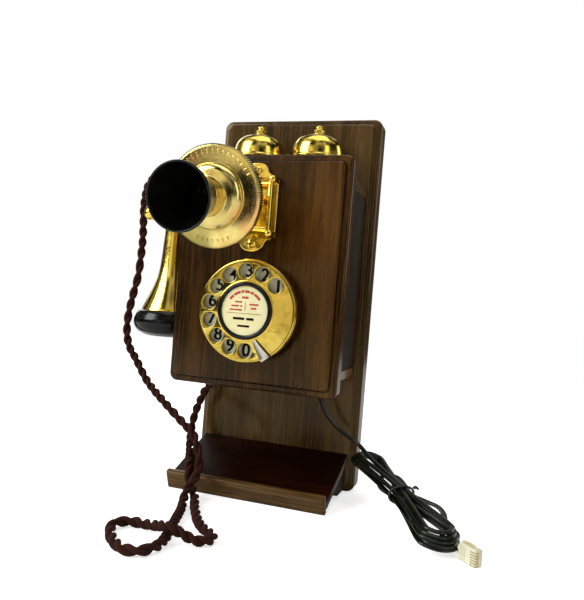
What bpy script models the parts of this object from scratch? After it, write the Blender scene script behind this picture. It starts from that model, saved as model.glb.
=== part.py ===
"""Antique wooden wall telephone with dial, bell receiver and horn transmitter.

Frame: origin at the middle of the backboard's bottom edge, on its front face line.
X runs to the right, Y from the front to the wall, Z up. Lengths below are in millimetres
and become metres in the helpers.
"""
import math

import bmesh
import bpy
from mathutils import Matrix, Vector

MM = 0.001
GAP = 0.3                      # clearance between touching pieces

# Driving dimensions
BOARD_W, BOARD_H, BOARD_T, BOARD_EDGE = 143.5, 313.6, 15.0, -2.0
FIELD_W, FIELD_H, FIELD_T = 131.6, 301.6, 6.0
BOX_HALF_W = 64.0
BOX_BOTTOM, BOX_TOP = 97.0, 253.5
BOX_FRONT, BOX_BACK = -64.0, -6.3
WALL = 8.0
DOOR_W, DOOR_BOTTOM, DOOR_TOP = 136.9, 86.0, 265.8
DOOR_BACK, DOOR_EDGE, DOOR_FIELD = -64.3, -76.2, -80.0
SHELF_X, SHELF_HALF, SHELF_TILT = 0.6, 65.5, math.radians(21.0)
SHELF_TOP_Z, SHELF_DEPTH, SHELF_T = 32.6, 66.0, 6.0
GONG_X, GONG_Y, GONG_R, GONG_TOP = 25.5, -28.5, 21.5, 292.5
ARMATURE_Z, CLAPPER_Z = 233.0, 274.5
RECEIVER = Vector((-97.0, -30.0, 0.0))
HOOK_Z, HOOK_PIVOT_X = 223.8, -38.0
DIAL = Vector((0.9, 0.0, 145.9))
DIAL_FRONT, DIAL_R = -96.8, 36.5
HOLE_R, HOLE_PITCH_R, HOLE_FIRST, HOLE_STEP = 6.0, 29.3, 47.8, 25.8
STOP_ANGLE = 154.0             # clockwise from the top, seen from the front
MOUTH_X, MOUTH_PIVOT_Y, MOUTH_PIVOT_Z = -4.0, -104.0, 228.1
MOUTH_TILT = math.radians(10.5)
HINGE = Vector((-66.8, -61.6, 0.0))
CORD_R, LINE_R = 3.5, 2.4

STEPS = 24                     # facets round a large turned piece
FINE = 12                      # facets round a small one


# ---------------------------------------------------------------- scene helpers
for old in list(bpy.data.objects):
    bpy.data.objects.remove(old)


def collection(name):
    made = bpy.data.collections.new(name)
    bpy.context.scene.collection.children.link(made)
    return made


PHONE = collection("wall_telephone")
CUTTERS = collection("cutters")


def material(name, colour, roughness, metallic=0.0):
    made = bpy.data.materials.new(name)
    made.use_nodes = True
    shader = made.node_tree.nodes["Principled BSDF"]
    shader.inputs["Base Color"].default_value = (*colour, 1.0)
    shader.inputs["Roughness"].default_value = roughness
    shader.inputs["Metallic"].default_value = metallic
    made.diffuse_color = (*colour, 1.0)
    return made


WALNUT = material("walnut", (0.09, 0.04, 0.02), 0.3)
BRASS = material("brass", (0.80, 0.58, 0.22), 0.18, 1.0)
STEEL = material("steel", (0.55, 0.55, 0.56), 0.3, 1.0)
EBONITE = material("ebonite", (0.01, 0.01, 0.012), 0.12)
ENAMEL = material("enamel", (0.30, 0.33, 0.28), 0.4)
CARD = material("card", (0.85, 0.82, 0.70), 0.6)
COPPER = material("copper_winding", (0.45, 0.18, 0.08), 0.4, 0.6)
FIBRE = material("fibre", (0.25, 0.12, 0.06), 0.7)
COTTON = material("cotton_braid", (0.10, 0.03, 0.02), 0.9)
PVC = material("pvc", (0.015, 0.018, 0.012), 0.25)
IVORY = material("ivory_plastic", (0.85, 0.83, 0.72), 0.35)


def add(name, data, mat, home=PHONE):
    ob = bpy.data.objects.new(name, data)
    home.objects.link(ob)
    if mat:
        data.materials.append(mat)
    if home is CUTTERS:
        ob.hide_render = True
        ob.display_type = "WIRE"
    return ob


def mesh_of(name, bm):
    data = bpy.data.meshes.new(name)
    bm.to_mesh(data)
    bm.free()
    return data


def bevel(ob, width, segments=1, angle=40.0):
    mod = ob.modifiers.new("edges", "BEVEL")
    mod.width = width * MM
    mod.segments = segments
    mod.limit_method = "ANGLE"
    mod.angle_limit = math.radians(angle)
    return ob


def block(name, low, high, mat=None, home=PHONE, edge=0.0):
    """A rectangular block between two corners, its origin at its middle."""
    bm = bmesh.new()
    bmesh.ops.create_cube(bm, size=1.0)
    size = Vector(high) - Vector(low)
    bmesh.ops.scale(bm, vec=size * MM, verts=bm.verts)
    ob = add(name, mesh_of(name, bm), mat, home)
    ob.location = (Vector(low) + Vector(high)) * 0.5 * MM
    return bevel(ob, edge) if edge else ob


def turned(name, profile, mat=None, at=(0, 0, 0), turn=None, steps=STEPS, home=PHONE, ring=False):
    """A turned piece: profile is (radius, height) from the top down its outer side."""
    data = bpy.data.meshes.new(name)
    points = [(r * MM, 0.0, h * MM) for r, h in profile]
    links = [(i, i + 1) for i in range(len(points) - 1)]
    if ring:
        links.append((len(points) - 1, 0))
    data.from_pydata(points, links, [])
    ob = add(name, data, mat, home)
    mod = ob.modifiers.new("turn", "SCREW")
    mod.axis = "Z"
    mod.steps = mod.render_steps = steps
    mod.use_merge_vertices = True
    mod.merge_threshold = 0.00001
    mod.use_smooth_shade = True
    ob.location = Vector(at) * MM
    if turn:
        ob.rotation_euler = turn
    return ob


TO_FRONT = (math.radians(90), 0, 0)      # local +Z points to -Y, out of the front
TO_RIGHT = (0, math.radians(90), 0)      # local +Z points to +X


def cylinder(name, radius, length, mat=None, at=(0, 0, 0), turn=None, steps=FINE, home=PHONE):
    """A plain round bar, from its start point along its own +Z."""
    profile = [(0, length), (radius, length), (radius, 0), (0, 0)]
    return turned(name, profile, mat, at, turn, steps, home)


def sphere(name, radius, at, home=CUTTERS):
    bm = bmesh.new()
    bmesh.ops.create_uvsphere(bm, u_segments=12, v_segments=8, radius=radius * MM)
    ob = add(name, mesh_of(name, bm), None, home)
    ob.location = Vector(at) * MM
    return ob


def rounded(w, h, r, corner=4):
    """The outline of a rectangle with round corners, anticlockwise."""
    points = []
    for sx, sy, start in ((1, -1, -90), (1, 1, 0), (-1, 1, 90), (-1, -1, 180)):
        for i in range(corner + 1):
            a = math.radians(start + 90.0 * i / corner)
            x = sx * (w / 2 - r) + r * math.cos(a)
            points.append((x, sy * (h / 2 - r) + r * math.sin(a)))
    return points


def flat(name, outline, thickness, mat=None, at=(0, 0, 0), turn=None, edge=0.0, home=PHONE):
    """A flat outline as a 2D curve, extruded to its thickness about its own middle plane."""
    data = bpy.data.curves.new(name, "CURVE")
    data.dimensions = "2D"
    data.fill_mode = "BOTH"
    data.extrude = (thickness / 2 - edge) * MM
    data.bevel_depth = edge * MM
    data.bevel_resolution = 0
    spline = data.splines.new("POLY")
    spline.points.add(len(outline) - 1)
    for point, (x, y) in zip(spline.points, outline):
        point.co = (x * MM, y * MM, 0, 1)
    spline.use_cyclic_u = True
    ob = add(name, data, mat, home)
    ob.location = Vector(at) * MM
    if turn:
        ob.rotation_euler = turn
    return ob


def wire(name, points, radius, mat=None, sides=2, home=PHONE):
    """A round bar or cord along a list of points, with closed ends."""
    data = bpy.data.curves.new(name, "CURVE")
    data.dimensions = "3D"
    data.bevel_depth = radius * MM
    data.bevel_resolution = sides
    data.use_fill_caps = True
    spline = data.splines.new("POLY")
    spline.points.add(len(points) - 1)
    for point, co in zip(spline.points, points):
        point.co = (*(Vector(co) * MM), 1)
    return add(name, data, mat, home)


def as_mesh(ob):
    """A curve made into a closed mesh, so that it can be cut and joined."""
    bpy.context.view_layer.update()
    graph = bpy.context.evaluated_depsgraph_get()
    data = bpy.data.meshes.new_from_object(ob.evaluated_get(graph))
    bm = bmesh.new()
    bm.from_mesh(data)
    bmesh.ops.remove_doubles(bm, verts=bm.verts, dist=0.00001)
    bm.to_mesh(data)
    bm.free()
    name, place, home = ob.name, ob.matrix_world.copy(), ob.users_collection[0]
    mat = ob.data.materials[0] if ob.data.materials else None
    bpy.data.objects.remove(ob)
    data.materials.clear()
    made = add(name, data, mat, home)
    made.matrix_world = place
    return made


def boolean(ob, other, operation):
    if ob.type == "CURVE":
        ob = as_mesh(ob)
    if other.type == "CURVE":
        other = as_mesh(other)
    for home in list(other.users_collection):
        home.objects.unlink(other)
    CUTTERS.objects.link(other)
    other.hide_render = True
    other.display_type = "WIRE"
    mod = ob.modifiers.new(operation.lower(), "BOOLEAN")
    mod.operation = operation
    mod.solver = "EXACT"
    mod.object = other
    return ob


def cut(ob, *others):
    for other in others:
        ob = boolean(ob, other, "DIFFERENCE")
    return ob


def join(ob, *others):
    for other in others:
        ob = boolean(ob, other, "UNION")
    return ob


def smooth_route(points, count):
    """Points evenly spaced along a smooth Catmull-Rom curve through the given ones."""
    pts = [Vector(p) for p in points]
    pts = [pts[0] * 2 - pts[1]] + pts + [pts[-1] * 2 - pts[-2]]
    dense = []
    for i in range(1, len(pts) - 2):
        a, b, c, d = pts[i - 1:i + 3]
        for k in range(16):
            t = k / 16
            dense.append(0.5 * (2 * b + (c - a) * t + (2 * a - 5 * b + 4 * c - d) * t * t
                                + (3 * b - a - 3 * c + d) * t ** 3))
    dense.append(pts[-2])
    lengths = [0.0]
    for p, q in zip(dense, dense[1:]):
        lengths.append(lengths[-1] + (q - p).length)
    made, j = [], 0
    for i in range(count):
        want = lengths[-1] * i / (count - 1)
        while j < len(dense) - 2 and lengths[j + 1] < want:
            j += 1
        share = (want - lengths[j]) / max(lengths[j + 1] - lengths[j], 1e-9)
        made.append(dense[j].lerp(dense[j + 1], min(1.0, share)))
    return made


def clock(angle, radius):
    """X and Z offsets at a clock angle in degrees from the top, seen from the front."""
    return radius * math.sin(math.radians(angle)), radius * math.cos(math.radians(angle))


# ---------------------------------------------------------------- wooden carcass
def panel(name, w, h, low_z, back, edge, field, field_w, field_h, r):
    """A moulded board: a slab with rounded corners and a raised field on its front."""
    mid = low_z + h / 2
    slab = flat(name, rounded(w - 2, h - 2, r - 1, 3), back - edge, WALNUT,
                (0, (back + edge) / 2, mid), TO_FRONT, edge=1.0)
    raised = flat(name + "_field", rounded(field_w - 2, field_h - 2, r - 2, 3), edge - field + 3,
                  None, (0, (edge + field + 3) / 2, mid), TO_FRONT, edge=1.0, home=CUTTERS)
    return join(slab, raised)


def carcass():
    panel("backboard", BOARD_W, BOARD_H, 0, BOARD_T, BOARD_EDGE, -FIELD_T, FIELD_W, FIELD_H, 7)
    side_low, side_high = BOX_BOTTOM + WALL + GAP, BOX_TOP - WALL - GAP
    left = block("box_side_left", (-BOX_HALF_W, BOX_FRONT, side_low),
                 (-BOX_HALF_W + WALL, BOX_BACK, side_high), WALNUT)
    cut(left, block("hook_slot", (-BOX_HALF_W - 5, -34.5, HOOK_Z - 6),
                    (-BOX_HALF_W + WALL + 5, -25.5, HOOK_Z + 14), home=CUTTERS))
    block("box_side_right", (BOX_HALF_W - WALL, BOX_FRONT, side_low),
          (BOX_HALF_W, BOX_BACK, side_high), WALNUT)
    top = block("box_top", (-BOX_HALF_W, BOX_FRONT, BOX_TOP - WALL),
                (BOX_HALF_W, BOX_BACK, BOX_TOP), WALNUT)
    cut(top, block("clapper_slot", (-6, -32.5, BOX_TOP - WALL - 5), (6, -24.5, BOX_TOP + 5),
                   home=CUTTERS))
    bottom = block("box_bottom", (-BOX_HALF_W, BOX_FRONT, BOX_BOTTOM),
                   (BOX_HALF_W, BOX_BACK, BOX_BOTTOM + WALL), WALNUT)
    for x, hole in ((-50.0, 5.0), (43.0, 4.0)):
        cut(bottom, cylinder("cord_hole", hole, WALL + 10, at=(x, -30, BOX_BOTTOM - 5),
                             home=CUTTERS))


def shelf():
    """The writing shelf slopes down to a raised lip that stands on the table."""
    base = Vector((SHELF_X, BOX_BACK, SHELF_TOP_Z))
    tilt = (SHELF_TILT, 0, 0)

    def sloped(name, y0, y1, z0, z1, edge):
        low, high = Vector((-SHELF_HALF, y0, z0)), Vector((SHELF_HALF, y1, z1))
        ob = block(name, low, high, WALNUT, edge=edge)
        middle = (low + high) / 2
        ob.location = (base + Matrix.Rotation(SHELF_TILT, 3, "X") @ middle) * MM
        ob.rotation_euler = tilt
        return ob

    board = sloped("shelf_board", -SHELF_DEPTH, 4, -SHELF_T, 0, 0)
    cut(board, block("shelf_back_cut", (-90, BOX_BACK, 0), (90, 20, 60), home=CUTTERS))
    lip = sloped("shelf_lip", -SHELF_DEPTH - 5.5, -SHELF_DEPTH - GAP, -8.4, 7.2, 1.2)
    cut(lip, block("lip_foot_cut", (-90, -100, -20), (90, 0, 0), home=CUTTERS))
    for side, x in (("left", -1), ("right", 1)):
        outline = [(-6.6, 3.0), (-6.6, 24.6)]
        outline += [(-46.0, 9.3), (-44.0, 7.2)]
        outline += [(-44 + 19 * math.sin(math.radians(a)), 7.2 - 4.2 * (1 - math.cos(math.radians(a))))
                    for a in range(15, 91, 15)]
        flat("shelf_bracket_" + side, [(-y, z) for y, z in outline], 8, WALNUT,
             (SHELF_X + x * (SHELF_HALF - 6), 0, 0), (math.radians(90), 0, math.radians(-90)))


# ---------------------------------------------------------------- bells and ringer
def ringer():
    rim = GONG_TOP - 20.5
    outer = [(2.6, GONG_TOP), (8, GONG_TOP - 0.6), (14, GONG_TOP - 2.6), (18.6, GONG_TOP - 6.4),
             (20.6, GONG_TOP - 11), (21.0, rim + 2), (GONG_R, rim)]
    inner = [(GONG_R - 1.4, rim), (19.4, rim + 3), (19.2, GONG_TOP - 11), (17.2, GONG_TOP - 7.4),
             (13.2, GONG_TOP - 4), (8, GONG_TOP - 2.2), (2.6, GONG_TOP - 1.6)]
    for side, x in (("left", -GONG_X), ("right", GONG_X)):
        turned("gong_" + side, outer + inner, BRASS, (x, GONG_Y, 0), ring=True)
        floor, seat = BOX_TOP + GAP, GONG_TOP - 1.9
        turned("gong_post_" + side, [(0, GONG_TOP + 3), (2.2, GONG_TOP + 3), (2.2, seat),
                                     (4, seat), (4, floor + 3), (7, floor + 3), (7, floor), (0, floor)],
               BRASS, (x, GONG_Y, 0), steps=FINE)
        nut = GONG_TOP + GAP
        turned("gong_nut_" + side, [(0, nut + 7), (2.6, nut + 6.5), (3.8, nut + 4.6), (3.6, nut + 2),
                                    (4.6, nut + 1), (4.6, nut), (2.6, nut), (2.6, nut + 3.2), (0, nut + 3.2)],
               BRASS, (x, GONG_Y, 0), steps=FINE)
    # Electromagnet under the box top: two coils on an iron yoke.
    for side, x in (("left", -15.0), ("right", 15.0)):
        turned("ringer_coil_" + side, [(0, 226), (9.5, 226), (9.5, 224), (7.5, 224), (7.5, 196),
                                       (9.5, 196), (9.5, 194), (0, 194)], COPPER, (x, GONG_Y, 0), steps=FINE)
    frame = block("ringer_frame", (-26, -38, 190), (26, -19, 193.7), STEEL)
    join(frame, block("frame_back", (-26, -18, 192), (26, -15, 240), home=CUTTERS),
         block("frame_seat", (-26, -21, 190.5), (26, -15, 193.7), home=CUTTERS))
    cut(frame, cylinder("armature_bore", 1.6, 40, at=(0, -5, ARMATURE_Z), turn=TO_FRONT, home=CUTTERS))
    # The armature rocks on a pin through the frame's back, and carries the clapper.
    armature = block("ringer_armature", (-24, -33, 227.2), (24, -24, 229.8), STEEL)
    join(armature, block("armature_hub", (-3.5, -31, 229), (3.5, -26, 235), home=CUTTERS),
         cylinder("armature_pin", 1.1, 18, at=(0, -12, ARMATURE_Z), turn=TO_FRONT, home=CUTTERS))
    rod = wire("clapper", [(0, GONG_Y, 235.3), (0, GONG_Y, CLAPPER_Z)], 0.9, BRASS)
    rod = join(rod, sphere("clapper_ball", 2.6, (0, GONG_Y, CLAPPER_Z)))


# ---------------------------------------------------------------- electrics in the box
def electrics():
    """Induction coil, condenser and terminals on the inside of the box."""
    coil = [(0, 42), (9, 42), (9, 40), (6.5, 40), (6.5, 2), (9, 2), (9, 0), (0, 0)]
    turned("induction_coil", coil, COPPER, (12, -20, 160), TO_RIGHT, steps=FINE)
    block("condenser", (-50, -34, 118), (-8, -9, 142), STEEL, edge=1.0)
    strip = block("terminal_block", (2, -20, 116), (50, -8, 132), EBONITE)
    for i in range(5):
        join(strip, cylinder("terminal", 3.0, 4, at=(8 + 9 * i, -19, 124), turn=TO_FRONT,
                             steps=10, home=CUTTERS))


# ---------------------------------------------------------------- switch hook
def hook():
    """The hook lever rocks on a pin inside the box; its fork holds the receiver's neck."""
    pivot = Vector((HOOK_PIVOT_X, RECEIVER.y, HOOK_Z))
    plate = block("hook_bracket", (-55.6, -44, HOOK_Z - 16), (-53.6, -16, HOOK_Z + 20), BRASS)
    cut(plate, block("bracket_slot", (-60, -34, HOOK_Z - 5), (-50, -26, HOOK_Z + 12), home=CUTTERS))
    for y in (-38.0, -24.0):
        join(plate, block("bracket_cheek", (-55, y, HOOK_Z - 6), (-32, y + 2, HOOK_Z + 8), home=CUTTERS))
    cut(plate, cylinder("pivot_bore", 2.05, 40, at=(pivot.x, -10, HOOK_Z), turn=TO_FRONT, home=CUTTERS))
    cylinder("hook_pivot_pin", 1.7, 18, STEEL, (pivot.x, -21.5, HOOK_Z), TO_FRONT)
    prong_y, prong_r, end_x = 13.6, 2.6, -112.0
    arc = [(RECEIVER.x + prong_y * math.cos(math.radians(a)),
            RECEIVER.y + prong_y * math.sin(math.radians(a)),
            HOOK_Z) for a in range(-90, 91, 15)]
    fork = [(end_x, RECEIVER.y - prong_y, HOOK_Z)] + arc + [(end_x, RECEIVER.y + prong_y, HOOK_Z)]
    lever = wire("hook_lever", fork, prong_r, BRASS)
    stem = [(RECEIVER.x + prong_y, RECEIVER.y, HOOK_Z), (-26, RECEIVER.y, HOOK_Z)]
    lever = join(lever, wire("lever_bar", stem, prong_r, home=CUTTERS),
                 cylinder("lever_hub", 4.6, 9, at=(pivot.x, -25.5, HOOK_Z), turn=TO_FRONT, home=CUTTERS))
    for side in (-1, 1):
        ball_at = (end_x - 1.5, RECEIVER.y + side * prong_y, HOOK_Z - 1.0)
        lever = join(lever, sphere("fork_ball", 6.3, ball_at))
    lever = cut(lever, cylinder("hub_bore", 2.05, 40, at=(pivot.x, -10, HOOK_Z), turn=TO_FRONT, home=CUTTERS))
    # Contact springs that the lever's tail works: a fibre block with a stack of blades.
    stack = block("hook_switch", (-36, -34, 196), (-28, -6.6, 204), FIBRE)
    join(stack, block("stack_post", (-35.5, -14, 203), (-28.5, -9, 218), home=CUTTERS))
    for z in (207.5, 211.5, 215.5):
        join(stack, block("blade", (-34.5, -34, z), (-29.5, -13, z + 0.8), home=CUTTERS))


# ---------------------------------------------------------------- receiver
def receiver():
    outer = [(7.0, 238.5), (10.5, 236.5), (13.2, 231.5), (13.2, 228.2), (11.8, 227.0), (9.6, 226.8),
             (9.5, 221), (10.0, 209), (10.8, 184), (12.0, 173), (13.9, 166), (17.4, 156), (21.2, 147),
             (24.3, 139)]
    inner = [(22.6, 139), (19.4, 147), (15.6, 156), (12.1, 166), (10.2, 173), (9.0, 184), (8.2, 209),
             (7.6, 226), (7.0, 232), (3.2, 234), (3.2, 238.5)]
    turned("receiver_shell", outer + inner, BRASS, RECEIVER, ring=True)
    cap_outer = [(24.6, 138.7), (27.5, 136.5), (29.8, 132), (30.2, 127.5), (29.0, 123.5), (25.0, 119.5),
                 (20.0, 117.4)]
    cap_inner = [(17.0, 117.4), (12.0, 119.6), (6.0, 123.4), (6.0, 125.0), (24.0, 125.0), (24.0, 129),
                 (22.0, 129.4), (22.0, 138.7)]
    turned("receiver_ear_cap", cap_outer + cap_inner, EBONITE, RECEIVER, ring=True)
    turned("receiver_diaphragm", [(0, 126.1), (23.5, 126.1), (23.5, 125.4), (0, 125.4)], STEEL, RECEIVER)
    turned("receiver_magnet", [(0, 226), (6.4, 226), (6.4, 140), (9.0, 138), (9.0, 127.6), (0, 127.6)],
           STEEL, RECEIVER, steps=FINE)
    turned("receiver_tail", [(3.9, 243), (5.2, 242.3), (5.2, 239.6), (6.6, 238.8), (2.7, 238.8), (2.7, 243)],
           BRASS, RECEIVER, steps=FINE, ring=True)


# ---------------------------------------------------------------- door and hinges
def door():
    leaf = panel("door", DOOR_W, DOOR_TOP - DOOR_BOTTOM, DOOR_BOTTOM, DOOR_BACK, DOOR_EDGE, DOOR_FIELD,
                 DOOR_W - 13, DOOR_TOP - DOOR_BOTTOM - 13, 6)
    cut(leaf,
        cylinder("dial_hole", 27, 40, at=(DIAL.x, -50, DIAL.z), turn=TO_FRONT, steps=STEPS, home=CUTTERS),
        cylinder("lead_hole", 4, 40, at=(MOUTH_X, -50, 225), turn=TO_FRONT, home=CUTTERS))
    catch = block("door_catch", (50, DOOR_BACK + GAP, 176), (54, -46, 184), BRASS)
    join(catch, block("catch_foot", (44, DOOR_BACK + GAP, 172), (54.5, DOOR_BACK + 2, 188), home=CUTTERS))
    for name, z in (("upper", 226.0), ("lower", 112.0)):
        axis = HINGE + Vector((0, 0, z))
        fixed = block("hinge_box_leaf_" + name, (-65.6, -61.6, z - 12), (-64.3, -42, z), BRASS)
        join(fixed, cylinder("knuckle", 2.3, 12, at=axis - Vector((0, 0, 12)), steps=16, home=CUTTERS),
             cylinder("pin", 1.2, 22, at=axis - Vector((0, 0, 10)), steps=16, home=CUTTERS))
        swing = cylinder("hinge_door_leaf_" + name, 2.3, 12, BRASS, axis + Vector((0, 0, GAP)), steps=16)
        join(swing, block("web", (-68.2, -64.9, z + GAP), (-65.9, -61.8, z + 12.3), home=CUTTERS),
             block("door_plate", (-68.2, -65.7, z + GAP), (-50, -64.5, z + 12.3), home=CUTTERS))
        cut(swing, cylinder("pin_bore", 1.5, 30, at=axis - Vector((0, 0, 5)), steps=16, home=CUTTERS))
        cut(leaf, block("mortise", (-72, -66.0, z), (-49.7, -60, z + 12.6), home=CUTTERS))


# ---------------------------------------------------------------- dial
def dial():
    def at(y):
        return (DIAL.x, y, DIAL.z)

    back = DOOR_FIELD - GAP
    depth = back - DIAL_FRONT            # from the door's face to the finger plate's front
    case = [(34.9, depth - 2.4), (37.4, depth - 2.4), (38.4, depth - 3.6), (38.4, depth - 8),
            (31.2, depth - 9), (31.2, 2), (33.0, 1.2), (33.0, 0), (3.4, 0), (3.4, 1.6), (29.8, 1.6),
            (29.8, depth - 6.5), (34.9, depth - 6.5)]
    case = turned("dial_case", case, BRASS, at(back), TO_FRONT, ring=True)
    disc = [(7, 1.2), (34.5, 1.2), (34.5, 0), (7, 0)]
    turned("dial_number_plate", disc, ENAMEL, at(-90.6), TO_FRONT, ring=True)
    plate = turned("dial_finger_plate", [(0, 1.4), (35.6, 1.4), (DIAL_R, 0.7), (DIAL_R, 0), (0, 0)], BRASS,
                   at(DIAL_FRONT + 1.4), TO_FRONT)
    for i in range(10):
        x, z = clock(HOLE_FIRST - HOLE_STEP * i, HOLE_PITCH_R)
        cut(plate, cylinder("finger_hole", HOLE_R, 6, at=(DIAL.x + x, DIAL_FRONT + 4, DIAL.z + z),
                            turn=TO_FRONT, steps=16, home=CUTTERS))
    turned("dial_card_ring", [(20.0, 2.6), (21.2, 1.4), (21.2, 0), (17.6, 0), (17.6, 2.2), (18.4, 2.6)],
           EBONITE, at(DIAL_FRONT - GAP), TO_FRONT, ring=True)
    turned("dial_card", [(0, 1.2), (17.2, 1.2), (17.2, 0), (0, 0)], CARD, at(DIAL_FRONT - GAP), TO_FRONT)
    # The finger stop is a hook on the case's rim whose end reaches in over the plate's edge.
    route = []
    for r, angle, y in ((40.2, STOP_ANGLE, back - 9.5), (40.2, STOP_ANGLE, DIAL_FRONT + 1.0),
                        (39.4, STOP_ANGLE, DIAL_FRONT - 1.5), (37.0, STOP_ANGLE + 0.8, DIAL_FRONT - 2.0),
                        (25.5, STOP_ANGLE + 6.0, DIAL_FRONT - 2.0)):
        x, z = clock(angle, r)
        route.append((DIAL.x + x, y, DIAL.z + z))
    wire("dial_finger_stop", route, 1.5, STEEL)
    # Main gear on the finger plate's spindle, and the governor that it drives.
    gear_teeth, pinion_teeth, module = 48, 12, 0.6
    reach = module * (gear_teeth + pinion_teeth) / 2
    cut(case,
        cylinder("governor_bore", 1.6, 12, at=(DIAL.x + reach, -74, DIAL.z), turn=TO_FRONT, home=CUTTERS))
    gear = toothed("dial_main_gear", gear_teeth, module, 1.8, BRASS, at(-86.0), 0.0)
    join(gear, cylinder("spindle", 3.0, 17, at=at(-78.0), turn=TO_FRONT, home=CUTTERS))
    place = (DIAL.x + reach, -85.3, DIAL.z)
    governor = toothed("dial_governor", pinion_teeth, module, 3.2, STEEL, place, 180.0 / pinion_teeth)
    join(governor,
         cylinder("governor_drum", 5.5, 2.0, at=(place[0], -82.4, place[2]), turn=TO_FRONT, home=CUTTERS),
         cylinder("governor_shaft", 1.2, 10.5, at=(place[0], -79.0, place[2]), turn=TO_FRONT, home=CUTTERS))


def toothed(name, teeth, module, width, mat, at, phase):
    """A spur gear as a flat outline: narrow teeth, so that a meshed pair runs with play."""
    outline = []
    pitch_r, step = module * teeth / 2, 360.0 / teeth
    shape = ((-0.28, -1.3), (-0.12, 0.9), (0.12, 0.9), (0.28, -1.3))
    for i in range(teeth):
        for share, height in shape:
            a = math.radians(phase + (i + share) * step)
            r = pitch_r + height * module
            outline.append((r * math.cos(a), r * math.sin(a)))
    return as_mesh(flat(name, outline, width, mat, at, TO_FRONT))


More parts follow.
